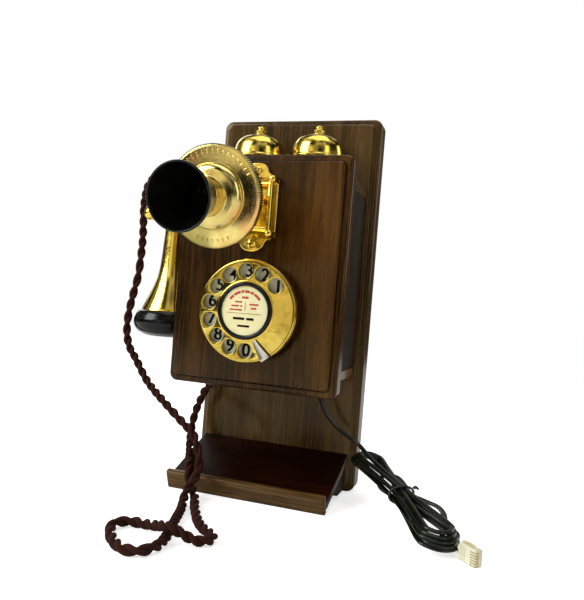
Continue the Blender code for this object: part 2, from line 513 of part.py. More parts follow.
# ---------------------------------------------------------------- transmitter
def transmitter():
    """Everything forward of the pivot hangs on one tilting empty."""
    base = DOOR_FIELD - GAP
    cz, screw_z = 223.8, 27.6
    corners, lug_r, lug_z = rounded(34, 46, 4, 2), 8.4, 24.2
    arc = [math.radians(-8 + 196 * i / 10) for i in range(11)]
    top_lug = [(lug_r * math.cos(a), lug_z + lug_r * math.sin(a)) for a in arc]
    bottom_lug = [(-x, -z) for x, z in top_lug]
    frame = flat("transmitter_bracket", corners[:6] + top_lug + corners[6:] + bottom_lug, 3, BRASS,
                 (MOUTH_X, base - 1.5, cz), TO_FRONT)
    frame = cut(frame, block("frame_window", (MOUTH_X - 10, -90, cz - 15), (MOUTH_X + 10, -70, cz + 15),
                             home=CUTTERS))
    for sx in (-1, 1):
        x = MOUTH_X + sx * 13.6
        rail = cylinder("side_rail", 3.3, 40, at=(x, base - 5.6, cz - 20), steps=12, home=CUTTERS)
        frame = join(frame, rail)
        for sz in (-1, 1):
            post = cylinder("corner_post", 4.6, 12.2, at=(x + sx * 0.4, base - 1.1, cz + sz * 20),
                            turn=TO_FRONT, steps=14, home=CUTTERS)
            frame = join(frame, post)
    bridge_z = MOUTH_PIVOT_Z
    frame = join(frame, block("bridge", (MOUTH_X - 13.5, base - 10.3, bridge_z - 4.2),
                              (MOUTH_X + 13.5, base - 4.4, bridge_z + 4.2), home=CUTTERS))
    for sx in (-1, 1):
        ear = flat("ear", rounded(25, 9, 4.4, 3), 2.6, at=(MOUTH_X + sx * 6.4, MOUTH_PIVOT_Y + 8, bridge_z),
                   turn=(math.radians(90), 0, math.radians(90)), home=CUTTERS)
        frame = join(frame, ear)
    for s, hz in (("upper", cz + screw_z), ("lower", cz - screw_z)):
        hole = cylinder("screw_hole", 1.9, 20, at=(MOUTH_X, -70, hz), turn=TO_FRONT, home=CUTTERS)
        frame = cut(frame, hole)
        head = base - 3 - GAP
        screw = [(0, 2.0), (1.8, 1.7), (3.0, 0.7), (3.4, 0), (1.5, 0), (1.5, -3.0), (0, -3.0)]
        turned("bracket_screw_" + s, screw, BRASS, (MOUTH_X, head, hz), TO_FRONT, steps=FINE)
    frame = cut(frame, cylinder("pivot_bore", 2.05, 40, at=(MOUTH_X - 20, MOUTH_PIVOT_Y, bridge_z),
                                turn=TO_RIGHT, steps=16, home=CUTTERS))
    screw = [(0, 24.6), (3.0, 24.0), (3.6, 22.6), (3.6, 20.9), (1.7, 20.9), (1.7, 4.5), (0, 4.5)]
    knob_at = (MOUTH_X - 13, MOUTH_PIVOT_Y, bridge_z)
    turned("transmitter_pivot_screw", screw, BRASS, knob_at, TO_RIGHT, steps=16)

    pivot = bpy.data.objects.new("transmitter_tilt", None)
    PHONE.objects.link(pivot)
    pivot.location = Vector((MOUTH_X, MOUTH_PIVOT_Y, MOUTH_PIVOT_Z)) * MM
    pivot.rotation_euler = (math.radians(90) + MOUTH_TILT, 0, 0)      # local +Z runs out to the mouth

    def hung(ob):
        ob.parent = pivot
        return ob

    face = 51.9                       # from the pivot to the face's front
    bowl = [(0, face - 18.5), (19, face - 15), (24.7, face - 12), (24.7, face - 3.6), (26.5, face - 3.6),
            (26.5, face - 13), (22, face - 17), (9, face - 21), (8, face - 30), (0, face - 30)]
    case = hung(turned("transmitter_case", bowl, BRASS))
    tongue = block("pivot_tongue", (-4.6, -4.4, -4.4), (4.6, 4.4, face - 25), home=CUTTERS)
    hung(tongue)
    bore = cylinder("tongue_bore", 2.05, 30, at=(-15, 0, 0), turn=TO_RIGHT, steps=16, home=CUTTERS)
    hung(bore)
    join(case, tongue)
    cut(case, bore)
    front = [(12.6, face + 20), (12.6, face + 7.4), (15.0, face + 6.7), (18.6, face + 5.7), (20.7, face + 4.0),
             (21.5, face + 1.6), (21.6, face), (33.4, face), (34, face - 0.6), (34, face - 5.8), (32.4, face - 5.8),
             (32.4, face - 3.3), (11.0, face - 3.3), (11.0, face + 20)]
    hung(turned("transmitter_face", front, BRASS, ring=True))
    hung(turned("transmitter_capsule", [(0, face - 4.2), (21, face - 4.2), (23.5, face - 6), (21, face - 12),
                                        (12, face - 15), (0, face - 15)], STEEL, steps=FINE))
    horn = [(20.4, face + 46.4), (21.2, face + 45.6), (20.2, face + 42.4), (16.8, face + 34), (14.2, face + 27),
            (13.2, face + 20.6), (10.7, face + 20.3), (10.5, face + 6), (8.6, face + 6), (8.6, face + 20),
            (12.0, face + 26.6), (14.8, face + 34), (18.2, face + 42), (19.6, face + 46.2)]
    hung(turned("mouthpiece", horn, EBONITE, ring=True))


# ---------------------------------------------------------------- cords
RECEIVER_ROUTE = [
    (-97, -30, 243.3), (-97, -30, 247.6), (-99.2, -30.4, 253.4), (-107, -31.8, 258),
    (-114.5, -33.2, 258), (-121.6, -34.6, 254), (-125.6, -35.6, 247), (-127, -36.6, 238),
    (-126.6, -38, 226), (-125, -39, 210), (-124, -40, 195), (-124.2, -42, 169), (-126.4, -44, 152),
    (-128.4, -46, 133.5), (-127.6, -47.4, 118), (-123.4, -48.4, 106), (-115, -50, 96),
    (-101, -53, 79.5), (-83.4, -58, 67), (-61.5, -65, 54), (-45.4, -71.2, 45), (-37, -77.5, 34.6),
    (-32.6, -82.6, 23.6), (-32.4, -89.2, 15.4), (-33.6, -97, 9.6), (-31, -108, 4.6), (-25.5, -121, 3.5),
    (-18, -144, 3.5), (-12.5, -161, 3.5), (-7.5, -176, 3.5), (-5.8, -189, 3.5), (-11, -200.6, 3.5),
    (-22, -201.4, 3.5), (-34, -192.6, 3.5), (-44, -180, 3.5), (-47.6, -168.6, 3.5), (-42, -161.5, 3.6),
    (-31.5, -161.6, 3.9), (-18.5, -168, 7), (-7.4, -175.4, 10.7), (2.4, -173.4, 7.8), (9.6, -171, 4.2),
    (16, -166.4, 3.5), (17, -159.2, 3.5), (11.4, -153.4, 3.5), (3, -146.4, 3.5), (-5.5, -135.6, 3.5),
    (-14.6, -120.6, 3.5), (-21.5, -108.6, 3.5), (-27, -97, 3.8), (-34, -86.4, 5.4),
    (-40.5, -80.6, 10.4), (-43.6, -78, 18), (-46.4, -71.5, 21.6), (-49.4, -65, 20.6), (-55, -55, 20),
    (-61.5, -42, 22.6), (-67.6, -31, 30), (-69.6, -25, 42), (-67.4, -23.4, 56), (-60, -26.4, 72),
    (-53, -29, 82), (-50, -30, 90), (-50, -30, 95.2)]
LINE_ROUTE = [(43, -30, 95.2), (43, -30, 90), (43.4, -29.4, 86), (44.6, -28, 78), (49, -25, 67.6),
              (57, -21.4, 57.4), (66, -20, 51.2), (76.5, -20.2, 45.4)]
HANK_TOP, HANK_END = Vector((82, -17, 36)), Vector((154, -103.6, 10.3))
HANK_W, HANK_T, HANK_LONG = 33.0, 11.0, 131.0


def hank_frame():
    """Local X along the hank, Y across it and level, Z out of its flat side."""
    along = (HANK_END - HANK_TOP).normalized()
    across = Vector((0, 0, 1)).cross(along).normalized()
    return Matrix((along, across, along.cross(across))).transposed()


def cords():
    glands = (("receiver_cord_gland", -50.0, 4.6, 3.9), ("line_cord_gland", 43.0, 3.6, 2.9))
    for name, x, hole, bore in glands:
        low = BOX_BOTTOM - GAP
        bush = [(bore, 103.5), (hole - 0.1, 103.5), (hole - 0.1, low), (hole + 2.2, low),
                (hole + 1.6, low - 1.2), (bore, low - 1.2)]
        turned(name, bush, EBONITE, (x, -30, 0), steps=FINE, ring=True)
    for name, route, count, radius, mat in (("receiver_cord", RECEIVER_ROUTE, 72, CORD_R, COTTON),
                                            ("line_cord", LINE_ROUTE, 12, LINE_R, PVC)):
        inner = smooth_route(route[1:-1], count)
        wire(name, [route[0]] + inner + [route[-1]], radius, mat)
    frame = hank_frame()
    middle = (HANK_TOP + HANK_END) / 2
    hank = flat("line_cord_hank", rounded(HANK_LONG, HANK_W, HANK_W / 2 - 0.2, 5), HANK_T, PVC, middle)
    hank.rotation_euler = frame.to_euler()
    plug = block("line_plug", (-7.5, -5.5, -3.2), (7.5, 5.5, 3.2), IVORY, edge=0.5)
    plug.location = Vector((171.0, -108.6, 5.6)) * MM
    plug.rotation_euler = (math.radians(90), 0, math.radians(-44))


carcass()
shelf()
ringer()
electrics()
hook()
receiver()
door()
dial()
transmitter()
cords()
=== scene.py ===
"""Looks for a wooden wall telephone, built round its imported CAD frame.

Lengths are millimetres in the row frame: X to the right, Y to the wall, Z up. The mesh helpers
turn them into metres.
"""
from math import cos, degrees, hypot, pi, radians, sin

import bmesh
import bpy
from mathutils import Matrix, Vector


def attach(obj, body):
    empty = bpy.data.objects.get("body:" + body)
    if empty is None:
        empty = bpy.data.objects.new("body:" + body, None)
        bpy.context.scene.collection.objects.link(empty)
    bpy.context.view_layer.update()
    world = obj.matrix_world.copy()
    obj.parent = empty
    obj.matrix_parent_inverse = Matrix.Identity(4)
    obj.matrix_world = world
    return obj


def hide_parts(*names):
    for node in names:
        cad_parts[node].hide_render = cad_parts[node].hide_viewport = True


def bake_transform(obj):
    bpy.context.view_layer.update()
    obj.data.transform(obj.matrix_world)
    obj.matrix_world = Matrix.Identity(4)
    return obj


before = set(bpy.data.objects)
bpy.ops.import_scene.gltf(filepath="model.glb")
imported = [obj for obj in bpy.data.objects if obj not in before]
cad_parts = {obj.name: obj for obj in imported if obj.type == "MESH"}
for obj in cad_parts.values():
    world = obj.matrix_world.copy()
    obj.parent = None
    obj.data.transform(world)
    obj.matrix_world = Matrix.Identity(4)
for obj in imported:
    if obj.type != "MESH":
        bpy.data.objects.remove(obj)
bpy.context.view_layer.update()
MM = 0.001
TAU = 2 * pi


# ================================================================ shader helpers
MIX_A, MIX_B, MIX_RESULT = 6, 7, 2      # a Mix node's colour sockets
WHITE = (1, 1, 1, 1)


def fill(tree, sockets, inputs):
    """Give these sockets their values: another socket is linked, anything else is set."""
    for key, value in inputs.items():
        if isinstance(value, bpy.types.NodeSocket):
            tree.links.new(value, sockets[key])
        else:
            sockets[key].default_value = value


def node(tree, kind, inputs=None, **settings):
    made = tree.nodes.new("ShaderNode" + kind)
    for key, value in settings.items():
        setattr(made, key, value)
    fill(tree, made.inputs, inputs or {})
    return made


def ramp(tree, factor, *stops):
    """A colour ramp: stops are (position, colour or grey)."""
    made = node(tree, "ValToRGB", {"Fac": factor})
    stripe = made.color_ramp
    while len(stripe.elements) < len(stops):
        stripe.elements.new(0.5)
    for element, (position, colour) in zip(stripe.elements, stops):
        element.position = position
        element.color = (*colour, 1) if isinstance(colour, tuple) else (colour, colour, colour, 1)
    return made.outputs["Color"]


def mixed(tree, factor, a, b, blend="MIX"):
    a, b = [(*colour, 1) if isinstance(colour, tuple) else colour for colour in (a, b)]
    made = node(tree, "Mix", data_type="RGBA", blend_type=blend)
    fill(tree, made.inputs, {"Factor": factor, MIX_A: a, MIX_B: b})
    return made.outputs[MIX_RESULT]


def maths(tree, operation, a, b=0.0):
    return node(tree, "Math", {0: a, 1: b}, operation=operation).outputs[0]


def times(tree, a, b):
    return maths(tree, "MULTIPLY", a, b)


def plus(tree, a, b):
    return maths(tree, "ADD", a, b)


def speckle(tree, vector, scale, detail=3.0, rough=0.55, distortion=0.0):
    inputs = {"Vector": vector, "Scale": scale, "Detail": detail, "Roughness": rough}
    return node(tree, "TexNoise", {**inputs, "Distortion": distortion}).outputs["Fac"]


def bump(tree, height, strength, distance, under=None):
    """A bump over another one; its distance is in metres."""
    inputs = {"Height": height, "Strength": strength, "Distance": distance}
    if under:
        inputs["Normal"] = under
    return node(tree, "Bump", inputs).outputs["Normal"]


def start(name):
    made = bpy.data.materials.new(name)
    made.use_nodes = True
    tree = made.node_tree
    return made, tree, tree.nodes["Principled BSDF"].inputs


def stretched(tree, source, scale, offset=0.0):
    inputs = {"Vector": source, "Location": (offset,) * 3, "Scale": scale}
    return node(tree, "Mapping", inputs).outputs["Vector"]


def place_of(tree):
    return node(tree, "TexCoord").outputs["Object"]


def along_uv(tree):
    return node(tree, "TexCoord").outputs["UV"]


def pointiness(tree):
    return node(tree, "NewGeometry").outputs["Pointiness"]


# ================================================================ materials
def wood(name, grain, dark, mid, light, shift=0.0, coat=0.09, gloss=(0.13, 0.28), spec=0.28, painted_lit_side=None):
    """Varnished walnut: growth bands, fibre streaks and open pores along the grain axis, with painted shade
    in its hollows and creases.
    gloss is the least and the greatest roughness; the last argument is (from X, to X, how much paler),
    painted light that makes the wood paler towards +X, where more light falls."""
    made, tree, surface = start(name)
    along = "XYZ".index(grain)

    def squeezed(share, offset=0.0):
        scale = [1.0, 1.0, 1.0]
        scale[along] = share
        return stretched(tree, place_of(tree), scale, offset + shift)

    broad = speckle(tree, squeezed(0.12), 26.0, 4.0, 0.5, 1.2)
    rings = {"Vector": squeezed(0.10, 0.31), "Scale": 24.0, "Distortion": 9.0, "Detail": 3.0,
             "Detail Scale": 1.4}
    bands = node(tree, "TexWave", rings, bands_direction="DIAGONAL").outputs["Fac"]
    fibre = speckle(tree, squeezed(0.03, 0.7), 620.0, 5.0, 0.7)
    pores = speckle(tree, squeezed(0.045, 1.3), 1150.0, 2.0, 0.5)
    tone = ramp(tree, broad, (0.36, dark), (0.5, mid), (0.66, light))
    tone = mixed(tree, times(tree, bands, 0.5), tone, dark)
    tone = mixed(tree, times(tree, ramp(tree, fibre, (0.47, 0.0), (0.62, 1.0)), 0.6), tone, light)
    # Painted light: the wood is made paler towards +X, where more light falls.
    if painted_lit_side:
        first, last, pale = painted_lit_side
        x = node(tree, "SeparateXYZ", {"Vector": place_of(tree)}).outputs["X"]
        reach = times(tree, maths(tree, "SUBTRACT", x, first), 1 / (last - first))
        tone = mixed(tree, ramp(tree, reach, (0.0, 0.0), (1.0, 1.0)), tone, (pale,) * 3, "MULTIPLY")
    pit = ramp(tree, pores, (0.60, 0.0), (0.68, 1.0))
    tone = mixed(tree, times(tree, pit, 0.75), tone, (0.006, 0.003, 0.002))
    # Painted shade: darker in hollows and creases, where pointiness is low.
    edge = ramp(tree, pointiness(tree), (0.47, 0.0), (0.50, 0.5), (0.56, 1.0))
    tone = mixed(tree, maths(tree, "SUBTRACT", 0.5, edge), tone, (0.004, 0.002, 0.001))
    patchy = speckle(tree, place_of(tree), 45.0, 4.0)
    ripple = bump(tree, speckle(tree, squeezed(0.25, 2.0), 150.0, 2.0), 0.35, 0.0004)
    fill(tree, surface, {
        "Base Color": tone,
        "Roughness": mixed(tree, patchy, (gloss[0],) * 3, (gloss[1],) * 3),
        "Normal": bump(tree, pit, -0.35, 0.00012, ripple),
        "Coat Normal": bump(tree, speckle(tree, squeezed(0.2, 3.1), 95.0, 3.0), 0.30, 0.00035),
        "Specular IOR Level": spec, "Specular Tint": (1.0, 0.70, 0.36, 1),
        "Coat Weight": coat, "Coat Roughness": 0.10})
    return made


def metal(name, base, stain, rough=0.13, grain=0.35, lines="turned", blotch=0.5, painted_reflections=(), wave=0.0006):
    """Polished metal: turning or brushing lines, a film of tarnish in patches, and painted shade darkening
    its hollows.
    The broad patches of other colours given to it are painted reflections."""
    made, tree, surface = start(name)
    patches = speckle(tree, place_of(tree), 70.0, 5.0, 0.62, 0.4)
    fine = speckle(tree, place_of(tree), 420.0, 4.0, 0.7)
    film = times(tree, ramp(tree, patches, (0.46, 0.0), (0.70, 1.0)), blotch)
    tone = mixed(tree, film, base, stain)
    # Painted reflections: broad patches of other colours stand in for what the polished metal mirrors.
    for k, reflected_colour in enumerate(painted_reflections):
        cloud = speckle(tree, place_of(tree), 21.0 + 9 * k, 2.0, 0.4)
        tone = mixed(tree, ramp(tree, cloud, (0.50, 0.0), (0.62, 0.8)), tone, reflected_colour)
    # Painted shade: darker in hollows and creases, where pointiness is low.
    hollow = ramp(tree, pointiness(tree), (0.40, 1.0), (0.49, 0.0))
    tone = mixed(tree, times(tree, hollow, 0.75), tone, tuple(0.22 * c for c in stain))
    spots = ramp(tree, fine, (0.66, 0.0), (0.76, 1.0))
    tone = mixed(tree, times(tree, spots, 0.35), tone, tuple(0.45 * c for c in stain))
    cloudy = times(tree, speckle(tree, place_of(tree), 120.0, 4.0, 0.6), 0.22)
    source, scale, size = {
        "turned": (along_uv, (3.0, 170.0, 1.0), 6.0),
        "cast": (place_of, (260.0, 260.0, 260.0), 1.0)}[lines]
    scored = speckle(tree, stretched(tree, source(tree), scale), size, 3.0, 0.7)
    wavy = bump(tree, speckle(tree, place_of(tree), 55.0, 2.0), 0.22, wave)
    fill(tree, surface, {
        "Base Color": tone, "Roughness": plus(tree, cloudy, rough - 0.07), "Metallic": 1.0,
        "Normal": bump(tree, scored, grain, 0.00006, wavy)})
    return made


def plastic(name, base, other, rough=0.18, dust=0.10, coat=0.0, scale=320.0, shine=0.5):
    """Moulded plastic or ebonite: fine orange peel, mottled colour, dust in specks."""
    made, tree, surface = start(name)
    mottle = ramp(tree, speckle(tree, place_of(tree), 90.0, 4.0), (0.35, 0.0), (0.7, 1.0))
    tone = mixed(tree, mottle, base, other)
    specks = ramp(tree, speckle(tree, place_of(tree), 900.0, 3.0, 0.7), (0.68, 0.0), (0.80, 1.0))
    tone = mixed(tree, times(tree, specks, dust), tone, tuple(0.5 * c + 0.12 for c in other))
    smear = times(tree, speckle(tree, place_of(tree), 60.0, 5.0, 0.65, 0.6), 0.24)
    fill(tree, surface, {
        "Base Color": tone, "Roughness": plus(tree, smear, rough - 0.08),
        "Normal": bump(tree, speckle(tree, place_of(tree), scale, 3.0), 0.16, 0.00008),
        "Specular IOR Level": shine, "Coat Weight": coat, "Coat Roughness": 0.05})
    return made


def cotton(name, dark, light):
    """Braided cotton: two crossing sets of yarns along the strand, with a soft sheen."""
    made, tree, surface = start(name)
    uv = node(tree, "SeparateXYZ", {"Vector": along_uv(tree)})
    plaits = []
    for yarns in (5.0, -5.0):
        phase = plus(tree, times(tree, uv.outputs["X"], yarns), times(tree, uv.outputs["Y"], 95.0))
        wave = maths(tree, "SINE", times(tree, phase, TAU))
        plaits.append(plus(tree, times(tree, wave, 0.5), 0.5))
    height = maths(tree, "MAXIMUM", plaits[0], times(tree, plaits[1], 0.92))
    fuzz = speckle(tree, place_of(tree), 1500.0, 4.0, 0.8)
    patch = speckle(tree, place_of(tree), 60.0, 3.0)
    tone = mixed(tree, ramp(tree, height, (0.45, 0.0), (0.95, 1.0)), dark, light)
    tone = mixed(tree, times(tree, fuzz, 0.45), tone, tuple(1.6 * c for c in light))
    tone = mixed(tree, times(tree, patch, 0.5), tone, dark)
    weave = bump(tree, height, 0.8, 0.00035)
    fill(tree, surface, {
        "Base Color": tone, "Roughness": plus(tree, times(tree, fuzz, 0.3), 0.6),
        "Normal": bump(tree, fuzz, 0.5, 0.0002, weave), "Specular IOR Level": 0.1,
        "Sheen Weight": 0.02, "Sheen Roughness": 0.4})
    return made


def winding(name, base, dark):
    """Enamelled wire in close turns round a bobbin."""
    made, tree, surface = start(name)
    turns = {"Vector": along_uv(tree), "Scale": 42.0, "Distortion": 0.3, "Detail": 1.0}
    turns = node(tree, "TexWave", turns, bands_direction="Y").outputs["Fac"]
    tone = mixed(tree, turns, dark, base)
    tone = mixed(tree, times(tree, speckle(tree, place_of(tree), 120.0), 0.5), tone, dark)
    fill(tree, surface, {
        "Base Color": tone, "Roughness": plus(tree, times(tree, turns, 0.15), 0.28),
        "Normal": bump(tree, turns, 0.6, 0.0003), "Metallic": 0.7})
    return made


# The door's right side is painted paler, as painted light where more light falls on it.
DOOR_WOOD = wood("walnut_door", "Z", (0.0036, 0.0008, 0.0002), (0.0130, 0.0040, 0.0006),
                 (0.058, 0.024, 0.0045), painted_lit_side=(0.014, 0.064, 2.1))
BOARD_WOOD = wood("walnut_board", "Z", (0.020, 0.0086, 0.0020), (0.046, 0.0222, 0.0052),
                  (0.112, 0.064, 0.021), shift=3.3)
BOX_WOOD = wood("walnut_box", "Z", (0.004, 0.0012, 0.0003), (0.014, 0.0050, 0.0010),
                (0.038, 0.017, 0.0045), shift=7.9, coat=0.0, gloss=(0.34, 0.58), spec=0.08)
SHELF_WOOD = wood("walnut_shelf", "X", (0.003, 0.0005, 0.0002), (0.0085, 0.0012, 0.0006),
                  (0.024, 0.0048, 0.0016), shift=5.1, coat=0.03, gloss=(0.2, 0.4), spec=0.15)
LIP_WOOD = wood("walnut_lip", "X", (0.052, 0.0245, 0.0068), (0.100, 0.0530, 0.0165),
                (0.168, 0.096, 0.036), shift=9.4)
BRASS = metal("brass_turned", (0.87, 0.63, 0.12), (0.60, 0.37, 0.045), rough=0.09)
BRASS_WHEEL = metal("brass_wheel", (0.68, 0.50, 0.10), (0.26, 0.18, 0.02), rough=0.09, grain=1.0,
                    lines="cast", blotch=0.9, wave=0.0011)
# The face's olive and orange patches are painted reflections.
BRASS_FACE = metal("brass_brushed", (0.82, 0.66, 0.24), (0.60, 0.44, 0.11), rough=0.06, grain=0.5,
                   blotch=0.7, painted_reflections=((0.22, 0.19, 0.04), (0.78, 0.44, 0.14)), wave=0.0005)
BRASS_CAST = metal("brass_cast", (0.86, 0.62, 0.12), (0.56, 0.34, 0.04), rough=0.11, lines="cast")
# A dark metal used only as painted shade, in screw slots and between milled teeth.
PAINTED_SHADE_METAL = metal("painted_shade_brass", (0.06, 0.032, 0.008), (0.02, 0.010, 0.003), rough=0.4,
                lines="cast")
STEEL = metal("nickel_steel", (0.60, 0.56, 0.50), (0.36, 0.30, 0.23), rough=0.2, lines="cast",
              blotch=0.3)
EBONITE = plastic("ebonite", (0.002, 0.002, 0.002), (0.005, 0.005, 0.004), rough=0.14, dust=0.02,
                  coat=0.10, shine=0.2)
ENAMEL = plastic("grey_enamel", (0.44, 0.45, 0.34), (0.56, 0.57, 0.44), rough=0.3, coat=0.2)
# Dull ebonite, made darker than the horn's as painted shade deep inside the horn.
GRILLE = plastic("dull_ebonite_painted_shade", (0.0008, 0.0008, 0.0008), (0.002, 0.002, 0.002), rough=0.7,
                 dust=0.0, shine=0.06)
CARD = plastic("cream_card", (0.78, 0.70, 0.36), (0.86, 0.79, 0.48), rough=0.6, dust=0.2,
               scale=900.0)
RED_INK = plastic("red_ink", (0.52, 0.035, 0.03), (0.60, 0.06, 0.05), rough=0.55)
BLACK_INK = plastic("black_ink", (0.003, 0.003, 0.003), (0.006, 0.006, 0.006), rough=0.55,
                    dust=0.02, shine=0.08)
COPPER = winding("enamelled_wire", (0.50, 0.16, 0.05), (0.12, 0.03, 0.01))
FIBRE = plastic("vulcanised_fibre", (0.16, 0.06, 0.03), (0.22, 0.09, 0.05), rough=0.6, scale=700.0)
COTTON = cotton("cotton_braid", (0.009, 0.0018, 0.0010), (0.052, 0.0135, 0.0075))
PVC = plastic("line_sheath", (0.002, 0.003, 0.001), (0.006, 0.008, 0.002), rough=0.24, dust=0.01,
              coat=0.5, shine=0.12)
IVORY = plastic("ivory_plastic", (0.78, 0.74, 0.55), (0.86, 0.83, 0.68), rough=0.28, dust=0.12)
RUBBER = plastic("black_tie", (0.008, 0.008, 0.008), (0.015, 0.015, 0.015), rough=0.5)


# ================================================================ mesh helpers
TO_FRONT = Matrix(((1, 0, 0), (0, 0, -1), (0, 1, 0))).to_4x4()      # local +Z looks to -Y
TO_BACK = Matrix(((-1, 0, 0), (0, 0, 1), (0, 1, 0))).to_4x4()       # local +Z looks to +Y
TO_RIGHT = Matrix(((0, 0, 1), (1, 0, 0), (0, 1, 0))).to_4x4()       # local +Z looks to +X
TO_LEFT = Matrix(((0, 0, -1), (-1, 0, 0), (0, 1, 0))).to_4x4()      # local +Z looks to -X
UP = Matrix.Identity(4)


def spun(angle, axis="Z"):
    """A turn about an axis, in degrees."""
    return Matrix.Rotation(radians(angle), 4, axis)


def at(x, y, z, turn=UP, spin=0.0):
    """A place in the row frame in millimetres, with the piece's own Z turned that way."""
    return Matrix.Translation(Vector((x, y, z)) * MM) @ turn @ spun(spin)


def linked(name, data):
    """An object in the scene for this mesh, curve, camera or light."""
    ob = bpy.data.objects.new(name, data)
    bpy.context.scene.collection.objects.link(ob)
    return ob


def object_of(name, bm):
    """An object from a bmesh, which is used up, with its faces looking outwards."""
    bmesh.ops.recalc_face_normals(bm, faces=bm.faces)
    data = bpy.data.meshes.new(name)
    bm.to_mesh(data)
    bm.free()
    return linked(name, data)


def mesh_of(ob):
    """A bmesh from an object, which is taken away."""
    bm = bmesh.new()
    bm.from_mesh(ob.data)
    bpy.data.objects.remove(ob)
    return bm


def evaluated(ob):
    """The mesh of an object once its modifiers or its curve's settings have worked."""
    bpy.context.view_layer.update()
    return bpy.data.meshes.new_from_object(ob.evaluated_get(bpy.context.evaluated_depsgraph_get()))


def piece(name, made, material, body, replaces=(), place=UP, edge=0.0, angle=32.0, flat=None):
    """A finished piece, from a bmesh or an object: set in place, smoothed, riding on its body.
    edge eases its edges by that much; flat is the angle from which an edge stays sharp."""
    ob = object_of(name, made) if hasattr(made, "verts") else made
    ob.name = name
    ob.data.transform(place)
    ob.data.materials.clear()
    ob.data.materials.append(material)
    ob.data.shade_smooth()
    if edge:
        mod = ob.modifiers.new("eased_edges", "BEVEL")
        mod.width, mod.segments = edge * MM, 2
        mod.limit_method, mod.angle_limit = "ANGLE", radians(angle)
        mod.use_clamp_overlap = True
        ob.modifiers.new("shading", "WEIGHTED_NORMAL").keep_sharp = True
    elif flat is not None:
        ob.data.set_sharp_from_angle(angle=radians(flat))
    if body:
        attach(ob, body)
    if replaces:
        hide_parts(*([replaces] if isinstance(replaces, str) else replaces))
    return ob


def curve(points, count=6):
    """A smooth run through the given pairs or triples, ends included."""
    pts = [Vector(p) for p in points]
    pts = [pts[0] * 2 - pts[1]] + pts + [pts[-1] * 2 - pts[-2]]
    made = []
    for i in range(1, len(pts) - 2):
        a, b, c, d = pts[i - 1:i + 3]
        for k in range(count):
            t = k / count
            made.append(0.5 * (2 * b + (c - a) * t + (2 * a - 5 * b + 4 * c - d) * t * t
                               + (3 * b - a - 3 * c + d) * t ** 3))
    return made + [pts[-2]]


def runs(*parts, count=6):
    """A turned profile: lists are smooth runs, single pairs are corners."""
    made = []
    for part in parts:
        if isinstance(part, list):
            made += [tuple(p) for p in curve(part, count)]
        else:
            made.append(part)
    return made


def raised(by, profile):
    """A turned profile with its heights raised."""
    return [(radius, height + by) for radius, height in profile]


def lathe(profile, steps=96, ring=False, knurl=None):
    """A turned mesh about its own Z. profile is (radius, height) from the top down the outer side;
    ring joins its end to its start; knurl(i, radius, height) changes the radius at the step i."""
    bm = bmesh.new()
    uv = bm.loops.layers.uv.new("turned")
    rows, run, last = [], [], None
    for r, h in profile:
        run.append(0.0 if last is None else run[-1] + hypot(r - last[0], h - last[1]) / 100)
        last = (r, h)
        if r < 1e-6:
            rows.append([bm.verts.new((0, 0, h * MM))])
            continue
        row = []
        for i in range(steps):
            a, grown = TAU * i / steps, r + (knurl(i, r, h) if knurl else 0.0)
            row.append(bm.verts.new((grown * cos(a) * MM, grown * sin(a) * MM, h * MM)))
        rows.append(row)
    pairs = list(zip(range(len(rows)), range(1, len(rows))))
    if ring:
        pairs.append((len(rows) - 1, 0))
    for j, k in pairs:
        top, low = rows[j], rows[k]
        v_top, v_low = run[j], run[k] if k else run[j] + 0.01
        for i in range(steps):
            n = (i + 1) % steps
            if len(top) == 1 and len(low) == 1:
                continue
            if len(top) == 1:
                corners = ((top[0], i + 0.5, v_top), (low[i], i, v_low), (low[n], i + 1, v_low))
            elif len(low) == 1:
                corners = ((top[i], i, v_top), (low[0], i + 0.5, v_low), (top[n], i + 1, v_top))
            else:
                corners = ((top[i], i, v_top), (low[i], i, v_low), (low[n], i + 1, v_low),
                           (top[n], i + 1, v_top))
            face = bm.faces.new([c[0] for c in corners])
            for loop, (_, u, v) in zip(face.loops, corners):
                loop[uv].uv = (u / steps, v)
    return bm


def rounded(w, h, r, corner=8):
    """The outline of a rectangle with rounded corners, each of so many steps."""
    points = []
    for sx, sy, first in ((1, -1, -90), (1, 1, 0), (-1, 1, 90), (-1, -1, 180)):
        for i in range(corner + 1):
            a = radians(first + 90.0 * i / corner)
            points.append((sx * (w / 2 - r) + r * cos(a), sy * (h / 2 - r) + r * sin(a)))
    return points


def over(inset0, z0, inset1, z1, count=5):
    """A convex edge: it leaves the side straight up and ends flat."""
    return [(inset0 + (inset1 - inset0) * (1 - cos(t)), z0 + (z1 - z0) * sin(t))
            for t in (pi / 2 * i / count for i in range(count + 1))]


def cove(inset0, z0, inset1, z1, count=5):
    """A hollow edge: it leaves flat and ends straight up."""
    return [(inset0 + (inset1 - inset0) * sin(t), z0 + (z1 - z0) * (1 - cos(t)))
            for t in (pi / 2 * i / count for i in range(count + 1))]


def moulded(w, h, r, steps, corner=8, keep=1.0):
    """A board with a moulded edge: steps are (inset, height) from its back to its front.
    keep is how much of each inset its corner's radius loses."""
    bm = bmesh.new()
    rings = []
    for inset, z in steps:
        outline = rounded(w - 2 * inset, h - 2 * inset, max(r - inset * keep, 0.4), corner)
        rings.append([bm.verts.new((x * MM, y * MM, z * MM)) for x, y in outline])
    for low, high in zip(rings, rings[1:]):
        for i in range(len(low)):
            n = (i + 1) % len(low)
            bm.faces.new((low[i], low[n], high[n], high[i]))
    bm.faces.new(list(reversed(rings[0])))
    bm.faces.new(rings[-1])
    return bm


